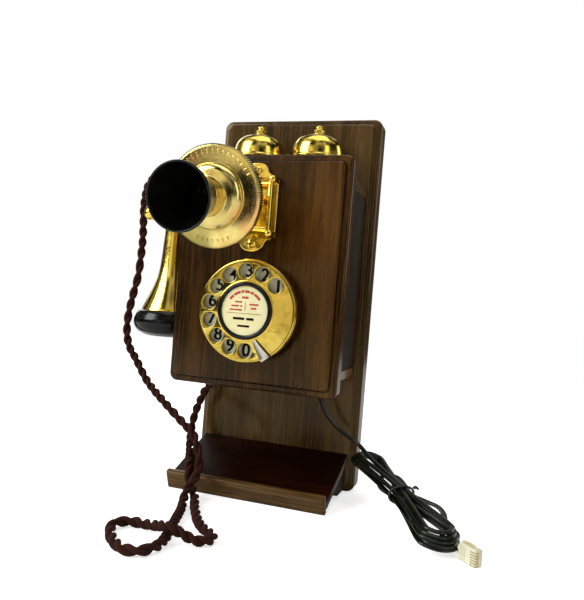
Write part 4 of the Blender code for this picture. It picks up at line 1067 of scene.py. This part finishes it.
# ================================================================ switch hook
def hook():
    """The fork and its lever, the bracket it rocks in, and the contact springs at its tail."""
    z, y, reach = 223.8, -30.0, 13.6
    bend = [(px, py, z) for px, py in arc(reach, -90, 91, 9, -97, y)]
    fork = [(-113.5, y - reach, z), (-105, y - reach, z), *bend, (-105, y + reach, z),
            (-113.5, y + reach, z)]
    lever = tube([Vector(p) for p in fork], 2.55, sides=24)
    bar = runs((0, 57.6), (2.2, 57.6), (2.6, 57.2), (2.6, 4), [(3.2, 3), (3.5, 1.4), (3.2, -0.4)],
               (0, -1))
    bar = moved(lathe(bar, 32), at(-83.8, y, z, TO_RIGHT))
    hub = moved(lathe([(2.05, 9), (4.3, 9), (4.6, 8.7), (4.6, 0.3), (4.3, 0), (2.05, 0)], 40, ring=True),
                at(-38, -25.5, z, TO_FRONT))
    ball = runs([(0, 6.3), (1.6, 6.1), (3.4, 5.3), (4.9, 4.0), (5.9, 2.1), (6.3, 0), (5.9, -2.1),
                 (4.9, -4.0), (3.4, -5.3), (2.9, -5.7)], [(3.6, -6.2), (3.6, -7.2), (2.7, -7.8)],
                (0, -7.8))
    balls = [moved(lathe(ball, 48), at(-115.0, y + side * reach, z - 1.4, TO_LEFT)) for side in (-1, 1)]
    piece("hook_lever_polished", merged(lever, bar, hub, *balls), BRASS, "hook", "hook_lever",
          flat=50)
    back = mesh_of(carve(moved(board(28, 36, 2.0, 0.4, 3.0), at(-55.6, y, z + 2, TO_RIGHT)),
                         brick((-60, -34, z - 5), (-50, -26, z + 12))))
    outline = [(-55, -6), (-36, -6)] + [(-36 + 7 * sin(radians(a)) * 0.6, 1 - 7 * cos(radians(a)))
                                       for a in range(15, 166, 15)] + [(-36, 8), (-55, 8)]
    cheeks = [moved(plate([outline, ring_of(1.75, 24, -38, 0)], 2.0, 0.2), at(0, cheek_y, z, TO_FRONT))
              for cheek_y in (-36.0, -22.0)]
    piece("hook_bracket_pressed", merged(back, *cheeks), BRASS_CAST, "root", "hook_bracket",
          flat=35)
    pin = lathe(runs([(0, 18.2), (1.2, 18.1), (1.7, 17.6)], [(1.7, 0.4), (1.2, -0.1), (0, -0.2)]), 32)
    piece("hook_pin_turned", pin, STEEL, "root", "hook_pivot_pin",
          place=at(-38, -21.5, z, TO_FRONT), flat=60)
    stack_x, gap = -32, 4
    block = merged(moved(board(8, 27.4, 8, 0.5, 0.8), at(stack_x, -20.3, 196)),
                   *[moved(board(7, 5, 3.2, 0.3, 0.5), at(stack_x, -11.5, 204 + gap * i))
                     for i in range(4)])
    piece("hook_switch_block", block, FIBRE, "root", "hook_switch", flat=35)
    blades = [moved(board(5, 21, 0.7, 0.1, 0.6), at(stack_x, -23.5, 207.5 + gap * i)) for i in range(3)]
    tips = [moved(lathe([(0, 1.6), (1.0, 1.5), (1.2, 1.0), (1.2, 0), (0, 0)], 20),
                  at(stack_x, -32, 208.1 + gap * i)) for i in range(2)]
    piece("hook_switch_blades", merged(*blades, *tips), BRASS_CAST, "root", flat=35)


hook()


# ================================================================ receiver
def receiver():
    """The receiver's bell-shaped shell, black ear cap and the ferrule its cord leaves by."""
    hung = at(-97, -30, 0)
    shell = runs((7.0, 238.6),
                 [(9.0, 238.2), (10.8, 236.9), (12.4, 234.6), (13.2, 231.8), (13.3, 229.4),
                  (12.8, 228.0)], [(11.4, 227.2), (10.0, 226.9), (9.6, 226.0)],
                 [(9.5, 221), (9.7, 212), (10.1, 200), (10.8, 186), (12.0, 173.5), (14.1, 165),
                  (17.6, 155.6), (21.3, 147), (23.6, 141.2), (24.3, 139)], (22.6, 139),
                 [(19.4, 147), (15.6, 156), (12.1, 166), (10.2, 173), (9.0, 184), (8.2, 209), (7.6, 226),
                  (7.0, 232)], (3.2, 234), (3.2, 238.6), count=8)
    piece("receiver_bell", lathe(shell, 128, ring=True), BRASS, "receiver", "receiver_shell",
          place=hung, flat=40)
    cap = runs([(24.8, 138.8), (26.4, 138.2), (27.9, 136.6), (29.2, 134.2)],
               [(29.4, 133.2), (30.2, 131.4), (30.4, 128.6), (30.0, 126.0), (28.8, 123.2), (26.6, 120.7),
                (23.4, 118.8), (20.0, 117.4)],
               [(18.2, 117.1), (16.4, 117.9), (12.0, 120.2), (8.0, 122.4), (6.2, 123.8)],
               (6.0, 125.0), (24.0, 125.0), (24.0, 129), (22.0, 129.4), (22.0, 138.8), count=6)
    piece("receiver_cap", lathe(cap, 128, ring=True), EBONITE, "receiver", "receiver_ear_cap",
          place=hung, flat=45)
    tail = runs([(3.9, 243.2), (4.6, 243.1), (5.3, 242.4), (5.4, 241.2), (5.0, 240.2)],
                [(5.4, 239.6), (6.6, 239.2), (6.7, 238.9)], (2.7, 238.8), (2.7, 243.2))
    piece("receiver_ferrule", lathe(tail, 48, ring=True), BRASS, "receiver", "receiver_tail",
          place=hung, flat=50)


receiver()


# ================================================================ dial
def clock(angle, radius):
    """Where a clock angle is on a dial seen from the front."""
    return radius * sin(radians(angle)), radius * cos(radians(angle))


def sector(r0, r1, a0, a1, count=5):
    """A piece of a ring between two radii and two clock angles."""
    outer = [clock(a0 + (a1 - a0) * i / count, r1) for i in range(count + 1)]
    return outer + [clock(a1 + (a0 - a1) * i / count, r0) for i in range(count + 1)]


def lettering(text, size, place, bold):
    """One figure as a thin raised mesh, centred on its place."""
    data = bpy.data.curves.new("figure", "FONT")
    data.body, data.size, data.offset, data.extrude = text, size * MM, bold * MM, 0.03 * MM
    data.align_x, data.align_y = "CENTER", "CENTER"
    return curve_mesh(data, place)


HOLE_PITCH, FIRST_HOLE, FIRST_FIGURE, HOLE_R = 25.8, 47.8, 49.8, 29.3


def dial_body():
    """The case with its milled rim, the number plate and its figures."""
    back, d = at(DIAL_X, DIAL_BACK, DIAL_Z, TO_FRONT), DIAL_DEPTH
    profile = runs((36.3, d - 2.6), [(36.4, d - 2.2), (37.0, d - 2.0), (37.7, d - 2.3), (38.0, d - 3.2)],
                   (38.1, d - 3.6), (38.4, d - 4.0), (38.4, d - 7.6),
                   [(38.0, d - 8.1), (36.6, d - 8.4), (32.4, d - 8.6)], [(31.4, d - 9.0), (31.0, d - 10)],
                   (31.0, 2.6), [(31.2, 2.0), (32.2, 1.7), (33.0, 1.0), (33.0, 0.3)], (32.8, 0), (3.4, 0),
                   (3.4, 1.6), (29.6, 1.6), (29.6, d - 6.5), (36.3, d - 6.5), count=4)
    milled = lathe(profile, 360, ring=True,
                   knurl=lambda i, r, h: -0.28 * (i % 2) if r > 38.05 and h > 6 else 0.0)
    piece("dial_case_turned", milled, BRASS, "door", "dial_case", place=back, flat=40)
    disc = lathe([(7, 11.5), (35.6, 11.5), (35.9, 11.2), (35.9, 10.3), (7, 10.3)], 128, ring=True)
    piece("dial_number_disc", disc, ENAMEL, "door", "dial_number_plate", place=back, flat=40)
    # Each figure is three thin copies side by side, which makes it bold; a closer, smaller 4
    # keeps its open middle.
    figures = []
    for i, text in enumerate("1234567890"):
        x, z = clock(FIRST_FIGURE - HOLE_PITCH * i, HOLE_R)
        spread, size = (0.14, 12.0) if text == "4" else (0.32, 13.4)
        for k in (-1, 0, 1):
            place = Matrix.Translation(((x + spread * k) * MM, z * MM, (11.56 + 0.004 * k) * MM))
            figures.append(lettering(text, size, place, 0.1))
    piece("dial_figures", merged(*figures), BLACK_INK, "door", place=back, flat=30)


def finger_wheel():
    """The finger plate with its collared holes, the hub's step, and the card in its ring."""
    back, d = at(DIAL_X, DIAL_BACK, DIAL_Z, TO_FRONT), DIAL_DEPTH
    holes = [clock(FIRST_HOLE - HOLE_PITCH * i, HOLE_R) for i in range(10)]
    face = plate([ring_of(36.4, 160)] + [ring_of(6.0, 48, x, z) for x, z in holes], 1.5, 0.42, 3)
    parts = [moved(face, at(0, 0, d - 1.5))]
    for x, z in holes:
        collar = lathe([(6.0, 0.9), (6.35, 0.9), (6.35, -2.0), (6.15, -2.2), (5.95, -2.0)], 48, ring=True)
        parts.append(moved(collar, at(x, z, d - 1.5)))
    hub = runs([(20.8, d + 0.5), (21.8, d + 0.5), (22.4, d + 0.2), (22.6, d - 0.3)], (20.8, d - 0.4))
    piece("dial_finger_wheel", merged(*parts), BRASS_WHEEL, "dial_rotor", "dial_finger_plate",
          place=back, flat=35)
    piece("dial_hub_step", lathe(hub, 96, ring=True), BRASS, "dial_rotor", place=back, flat=40)
    ring = runs([(18.1, d + 1.9), (18.5, d + 2.6), (19.5, d + 2.95), (20.5, d + 2.6), (21.1, d + 1.7),
                 (21.3, d + 0.6)], (21.3, d + 0.35), (18.1, d + 0.35), count=4)
    piece("dial_card_bezel", lathe(ring, 128, ring=True), EBONITE, "dial_rotor",
          "dial_card_ring", place=back, flat=50)
    card = lathe(runs([(0, d + 1.45), (9, d + 1.44), (17.9, d + 1.3)], (17.9, d + 0.35), (0, d + 0.35)),
                 96)
    piece("dial_card_paper", card, CARD, "dial_rotor", "dial_card", place=back, flat=40)

    def printed(outlines):
        return merged(*[moved(plate([o], 0.05), at(0, 0, d + 1.43)) for o in outlines])

    def dash(x0, x1, z, h):
        return [(x0, z - h / 2), (x1, z - h / 2), (x1, z + h / 2), (x0, z + h / 2)]

    # Plain dashes stand for the card's notice; they are no letters.
    words = ((-56, 15), (-38, 21), (-14, 8), (-3, 16), (16, 10), (29, 24))
    red = [sector(13.2, 15.0, a, a + w) for a, w in words]
    red += [dash(*line) for line in (
        (-2.6, 2.6, 9.6, 1.5), (-7.8, -2.2, 6.2, 1.2), (-10.4, -4.6, 3.2, 1.2), (-3.8, -1.8, 3.2, 1.2),
        (-11.6, -2.0, 0.4, 1.2), (3.6, 10.6, 4.8, 1.3), (4.8, 9.2, 2.0, 1.3), (0.2, 0.7, 3.4, 6.4))]
    piece("dial_card_red_print", printed(red), RED_INK, "dial_rotor", place=back)
    black = [dash(*line) for line in (
        (-13.6, 13.6, -2.0, 0.3), (-8.4, 0.6, -5.9, 1.8), (2.0, 7.8, -5.9, 1.8), (-4.6, 4.8, -11.2, 1.5))]
    piece("dial_card_black_print", printed(black), BLACK_INK, "dial_rotor", place=back)


def finger_stop():
    """A plate bent over from the case's rim, gutter-shaped and flared to its bent end."""
    back = at(DIAL_X, DIAL_BACK, DIAL_Z, TO_FRONT)
    outer, inner = Vector(clock(150.4, 38.0)), Vector(clock(156.0, 24.2))
    along = (inner - outer).normalized()
    across = Vector((-along.y, along.x))
    stop = bmesh.new()
    grid, bend_z = [], 17
    # How far inwards, half its width and its height, for each line across the plate.
    lengths = ((-1.1, 3.1, 9.6), (-1.1, 3.3, 16.0), (-0.8, 3.5, 18.0), (0.0, 3.6, 18.8), (2.0, 3.4, 19.1),
               (4.5, 2.9, 19.2), (8.0, 2.3, 19.0), (11.5, 1.85, 18.8), (14.6, 1.6, 18.7),
               (15.2, 1.45, 18.5))
    for s, half, high in lengths:
        for skin in (0.0, -0.8):
            row = []
            for i in range(9):
                t = i / 4 - 1
                spot = outer + along * (s - (skin if high < bend_z else 0.0)) + across * (half * t)
                dip = 0.7 * (1 - t * t) * min(1.0, max(0.0, (high - bend_z) / 2)) if s >= 0 else 0.0
                row.append(stop.verts.new((spot.x * MM, spot.y * MM, (high - dip + skin) * MM)))
            grid.append(row)
    tops, unders = grid[0::2], grid[1::2]
    for rows, turned in ((tops, False), (unders, True)):
        for low, high in zip(rows, rows[1:]):
            for i in range(8):
                face = (low[i], low[i + 1], high[i + 1], high[i])
                stop.faces.new(tuple(reversed(face)) if turned else face)
    for i in (0, 8):
        for k in range(len(tops) - 1):
            stop.faces.new((tops[k][i], tops[k + 1][i], unders[k + 1][i], unders[k][i]))
    for k in (0, len(tops) - 1):
        for i in range(8):
            stop.faces.new((tops[k][i], tops[k][i + 1], unders[k][i + 1], unders[k][i]))
    bmesh.ops.recalc_face_normals(stop, faces=stop.faces)
    piece("dial_stop_hook", stop, STEEL, "door", "dial_finger_stop", place=back, flat=50)


dial_body()
finger_wheel()
finger_stop()


# ================================================================ transmitter
def shoulder(way):
    """The cast slope from a screw lug up to the frame's end bar, hollowed round the screw."""
    bm = bmesh.new()
    across, sides = 21, ((23.4, 2.4), (22.2, 3.6), (20.7, 5.4), (19.2, 7.4), (18.1, 8.9), (17.1, 9.6),
                         (15.9, 9.7), (15.0, 9.2), (14.4, 8.0), (14.2, 1.0))
    grid = []
    for y, z in sides:
        row = []
        for i in range(across):
            t = 2 * i / (across - 1) - 1
            out = max(0.0, y - 16) / 8.2
            row.append(bm.verts.new((t * (15.0 - 2.2 * out * (1 - out)) * MM,
                                     way * (y + 1.2 * out * t * t) * MM, (z + 0.5 * t * t) * MM)))
        grid.append(row)
    for low, high in zip(grid, grid[1:]):
        for i in range(across - 1):
            bm.faces.new((low[i], low[i + 1], high[i + 1], high[i]))
    for i in (0, across - 1):
        bm.faces.new([row[i] for row in grid])
    bm.faces.new(grid[0] + grid[-1][::-1])
    bmesh.ops.recalc_face_normals(bm, faces=bm.faces)
    return bm


def bracket():
    """The cast frame on the door, its screws, and the fork and knob that hold the transmitter."""
    back = at(MOUTH_X, DIAL_BACK, BRACKET_Z, TO_FRONT)
    screw_z, rail_x, post_z = 27.6, 14.2, 20.0
    # A quarter of the plate's outline, mirrored both ways.
    corner = [(17.4, 19.0), (17.0, 21.2), (14.6, 22.8), (11.4, 24.0), (9.5, 26.0), (8.4, 28.6), (6.2, 31.0),
              (3.2, 32.4), (0, 32.6)]
    quarter = [(p.x, p.y) for p in curve(corner, 5)]
    outline = quarter + [(-x, z) for x, z in reversed(quarter[:-1])]
    outline += [(-x, -z) for x, z in quarter] + [(x, -z) for x, z in reversed(quarter[:-1])]
    parts = [plate([outline, ring_of(1.9, 20, 0, screw_z), ring_of(1.9, 20, 0, -screw_z)], 3.2, 0.9, 4)]
    for sx in (-1, 1):
        x = sx * rail_x
        rail = moulded(3.8, 40, 1.4, [(0.3, 1.2), (0.0, 1.6)] + over(0, 8.2, 1.6, 10.2, 5), 6)
        parts.append(moved(rail, at(x, 0, 0)))
        for sz in (-1, 1):
            post = lathe(runs([(0, 12.6), (1.2, 12.4), (2.3, 11.6), (2.9, 10.2), (2.9, 8.8), (2.5, 7.2),
                               (2.5, 5.0), (3.1, 3.0), (3.4, 1.6)], (3.4, 0.6), (0, 0.6)), 48)
            parts.append(moved(post, at(x + sx * 1.6, sz * post_z, 0)))
    piece("transmitter_bracket_cast", merged(*parts, shoulder(-1), shoulder(1)), BRASS_CAST, "door",
          "transmitter_bracket", place=back, flat=42)
    bridge = [moved(board(20, 8.4, 5.9, 1.2, 2.0), at(0, 4.3, 4.4))]
    edge_on = Matrix(((0, 0, 1), (0, 1, 0), (1, 0, 0))).to_4x4()        # an ear's length looks forwards
    for sx in (-1, 1):
        ear = plate([rounded(25, 9, 4.4, 10), ring_of(1.8, 20, 8, 0)], 2.6, 0.4)
        bridge.append(moved(ear, at(sx * 6.4 - 1.3, 4.3, 15.7, edge_on)))
    piece("transmitter_fork", merged(*bridge), BRASS_CAST, "door", place=back, flat=42)
    for s, z, spin in (("upper", screw_z, 108), ("lower", -screw_z, 86)):
        place = at(MOUTH_X, DIAL_BACK - 3.3, BRACKET_Z + z, TO_FRONT, spin)
        head = slotted(3.4, 1.7, slot=1.1, depth=1.4)
        shank = lathe([(0, 0), (1.5, 0), (1.5, -3), (0, -3)], 20)
        piece("bracket_screw_slotted_" + s, merged(head, shank), BRASS_CAST, "door",
              "bracket_screw_" + s, place=place, flat=40)
        # Painted shade: a dark strip in the bottom of the slot stands in for the shadow in it.
        piece("bracket_screw_slot_shade_" + s, brick((-3.0, -0.54, 0.2), (3.0, 0.54, 0.5)), PAINTED_SHADE_METAL, "door",
              place=place)
    knob = runs((0, 24.7), [(1.6, 24.6), (2.8, 24.2), (3.5, 23.2), (3.7, 22.4)], (3.7, 20.9), (1.7, 20.9),
                (1.7, 4.5), (1.3, 4.1), (0, 4.1))
    knob = lathe(knob, 120, knurl=lambda i, r, h: -0.12 * (i % 2) if r > 3.65 else 0.0)
    piece("transmitter_pivot_knob", knob, BRASS, "door", "transmitter_pivot_screw",
          place=at(MOUTH_X - 13, PIVOT_Y, PIVOT_Z, TO_RIGHT), flat=40)


def transmitter_face(pivot, f):
    """The domed face with its milled edge and a ring of plain lozenges."""
    face = runs((11.0, 20.0), (12.2, 20.0), (12.6, 19.6), (12.6, 8.2),
                [(12.7, 7.8), (13.2, 7.3), (15.0, 6.9), (17.2, 6.4), (19.2, 5.4), (20.6, 4.0),
                 (21.4, 2.4), (21.6, 0.9)], (21.6, 0.3), (21.9, 0), (26.0, 0), (30.0, -0.05),
                (32.2, -0.1), [(32.5, -0.2), (32.75, -0.4), (32.85, -0.8)],
                (32.85, -4.4), (32.6, -4.6), (31.6, -4.6), (31.6, -3.3), (11.0, -3.3), count=5)
    count = 130
    teeth = [moved(brick((32.5, -0.42, f - 4.5), (33.5, 0.42, f - 0.3)),
                   Matrix.Rotation(TAU * i / count, 4, "Z")) for i in range(count)]
    piece("transmitter_face_milled", merged(lathe(raised(f, face), 256, ring=True), *teeth), BRASS_FACE,
          "transmitter", "transmitter_face", place=pivot, flat=38)
    # Painted shade: a dark ring just proud of the face shows between the milled teeth, as the shade in
    # their grooves.
    groove = lathe([(32.95, f - 0.9), (32.95, f - 4.3), (32.2, f - 4.3), (32.2, f - 0.9)], 128, ring=True)
    piece("transmitter_face_groove_shade", groove, PAINTED_SHADE_METAL, "transmitter", place=pivot, flat=40)
    beads = []
    step = 7.5
    for angle in [step * i - 60 for i in range(17)] + [step * i + 157.5 for i in range(7)]:
        x, y = clock(angle, 28.6)
        bead = lathe(runs([(0, 0.50), (0.5, 0.44), (0.85, 0.20), (0.98, -0.15)], (0, -0.15), count=2), 14)
        beads.append(moved(bead, at(x, y, f, UP, -angle) @ Matrix.Diagonal((0.5, 1.9, 1.0, 1.0))))
    piece("transmitter_face_beads", merged(*beads), BRASS_FACE, "transmitter", place=pivot,
          flat=60)


def transmitter_case(pivot, f):
    """The spun case behind the face, with the tongue and boss it tilts on."""
    case = runs((0, -18.5), (19, -15), (24.7, -12), (24.7, -3.6), (25.9, -3.6), (26.5, -4.2),
                [(26.5, -9), (26.2, -12), (24.8, -14.6), (22, -16.8), (16, -18.9), (10.4, -20.6),
                 (8.6, -22.4), (8.1, -25)], (8, -29.5), (7.5, -30), (0, -30))
    tongue = moved(board(9.0, 8.6, f - 21, 1.2, 2.0), at(0, 0, -4.4))
    boss = moved(lathe([(1.9, 9.2), (4.0, 9.2), (4.5, 8.7), (4.5, 0.5), (4.0, 0), (1.9, 0)], 40,
                       ring=True), at(-4.6, 0, 0, TO_RIGHT))
    screws = [moved(slotted(1.9, 1.0, slot=0.5, depth=0.5),
                    at(*clock(a, 19.0), f - 17.6) @ spun(180, "X")) for a in (60, 180, 300)]
    piece("transmitter_case_spun", merged(lathe(raised(f, case), 128), tongue, boss, *screws), BRASS,
          "transmitter", "transmitter_case", place=pivot, flat=40)


def mouthpiece(pivot, f):
    """The black horn and the pierced grille inside it."""
    horn = runs([(19.6, 46.5), (20.0, 46.9), (20.5, 46.9), (20.9, 46.4), (21.0, 45.6)],
                [(20.7, 44.6), (19.7, 41.8), (17.8, 37), (16.0, 32), (14.6, 27), (13.8, 23)],
                [(13.6, 22.2), (13.2, 21.2), (12.8, 20.6)], (10.7, 20.3), (10.5, 6), (8.6, 6),
                [(8.6, 18), (9.1, 20), (10.8, 24), (13.0, 29), (15.4, 35), (17.7, 41), (19.4, 46)])
    piece("mouthpiece_horn", lathe(raised(f, horn), 128, ring=True), EBONITE, "transmitter",
          "mouthpiece", place=pivot, flat=50)
    holes = [ring_of(0.8, 16)]
    holes += [ring_of(0.8, 16, *clock(60 * i, 3.0)) for i in range(6)]
    holes += [ring_of(0.8, 16, *clock(30 * i + 15, 6.0)) for i in range(12)]
    grille = plate([ring_of(8.5, 64)] + holes, 0.9, 0.18)
    piece("mouthpiece_grille", moved(grille, at(0, 0, f + 11)), GRILLE, "transmitter",
          place=pivot, flat=35)


bracket()
for make in (transmitter_face, transmitter_case, mouthpiece):
    make(at(MOUTH_X, PIVOT_Y, PIVOT_Z) @ spun(PIVOT_TILT, "X"), FACE)


# ================================================================ hinges, catch and glands
def knuckle(pin_r, axis, z):
    """A hinge's round barrel, 12 mm high."""
    return moved(lathe([(pin_r, 12), (2.1, 12), (2.3, 11.8), (2.3, 0.2), (2.1, 0), (pin_r, 0)], 32,
                       ring=True), at(*axis, z))


def hinges():
    """A leaf with the pin on the box's side, and a leaf let into the door's back."""
    axis = (-66.8, -61.6)
    for name, z in HINGES:
        pin = moved(lathe(runs([(0, 25.4), (0.9, 25.1), (1.5, 24.4), (1.4, 23.6)], (1.2, 23.4),
                               (1.2, 0.6), [(1.5, 0.4), (1.5, -0.4), (0.8, -1.2), (0, -1.3)]), 32),
                    at(*axis, z - 11.4))
        leaf = moved(board(19.6, 12, 1.3, 0.25, 1.0), at(-64.3, -51.8, z - 6, TO_LEFT))
        heads = [moved(slotted(1.9, 0.7, slot=0.5, depth=0.45),
                       at(-65.55, y, z - 6 + dz, TO_LEFT, 40 * y))
                 for y, dz in ((-56, 3), (-50, -3), (-45, 3))]
        piece("hinge_box_plate_" + name, merged(knuckle(1.3, axis, z - 12), pin, leaf, *heads),
              BRASS_CAST, "root", "hinge_box_leaf_" + name, flat=40)
        web = moved(board(2.2, 3.1, 12, 0.2, 0.3), at(-67.05, -63.35, z + 0.3))
        leaf = moved(board(18.2, 12, 1.2, 0.2, 0.8), at(-59.1, -64.5, z + 6.3, TO_FRONT))
        piece("hinge_door_plate_" + name, merged(knuckle(1.5, axis, z + 0.3), web, leaf), BRASS_CAST,
              "door", "hinge_door_leaf_" + name, flat=40)


def catch_and_bushes():
    """The spring that holds the door shut, and the bushes the two cords pass through."""
    catch_z, low, high = 180, 96.7, 103.5
    foot = moved(board(10.5, 16, 1.7, 0.35, 2.0), at(49.25, -64.0, catch_z, TO_BACK))
    tab = moved(board(4, 8, 17.6, 0.5, 1.2), at(52, -63.8, catch_z, TO_BACK))
    heads = [moved(slotted(1.7, 0.8, slot=0.5, depth=0.5),
                   at(46.4, -62.35, catch_z + dz, TO_BACK, 25 + dz)) for dz in (-5, 5)]
    piece("door_catch_spring", merged(foot, tab, *heads), BRASS_CAST, "door", "door_catch",
          flat=40)
    for name, x, outer, inner in (("receiver", -50.0, 4.6, 3.9), ("line", 43.0, 3.6, 2.9)):
        profile = runs((inner, high), (outer - 0.4, high), (outer - 0.1, high - 0.3), (outer - 0.1, low),
                       [(outer + 2.0, low), (outer + 2.3, low - 0.5), (outer + 1.7, low - 1.1),
                        (outer + 0.6, low - 1.3)], (inner, low - 1.2))
        piece(name + "_cord_bush", lathe(profile, 48, ring=True), EBONITE, "root",
              name + "_cord_gland", place=at(x, CORD_Y, 0), flat=45)


hinges()
catch_and_bushes()


# ================================================================ what stays of the frame
KEPT = {"receiver_diaphragm": STEEL, "receiver_magnet": STEEL, "transmitter_capsule": STEEL,
        "dial_main_gear": BRASS_CAST, "dial_governor": STEEL}
for name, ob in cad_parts.items():
    if not ob.hide_render:
        ob.data.materials.clear()
        ob.data.materials.append(KEPT[name])

bpy.context.view_layer.update()
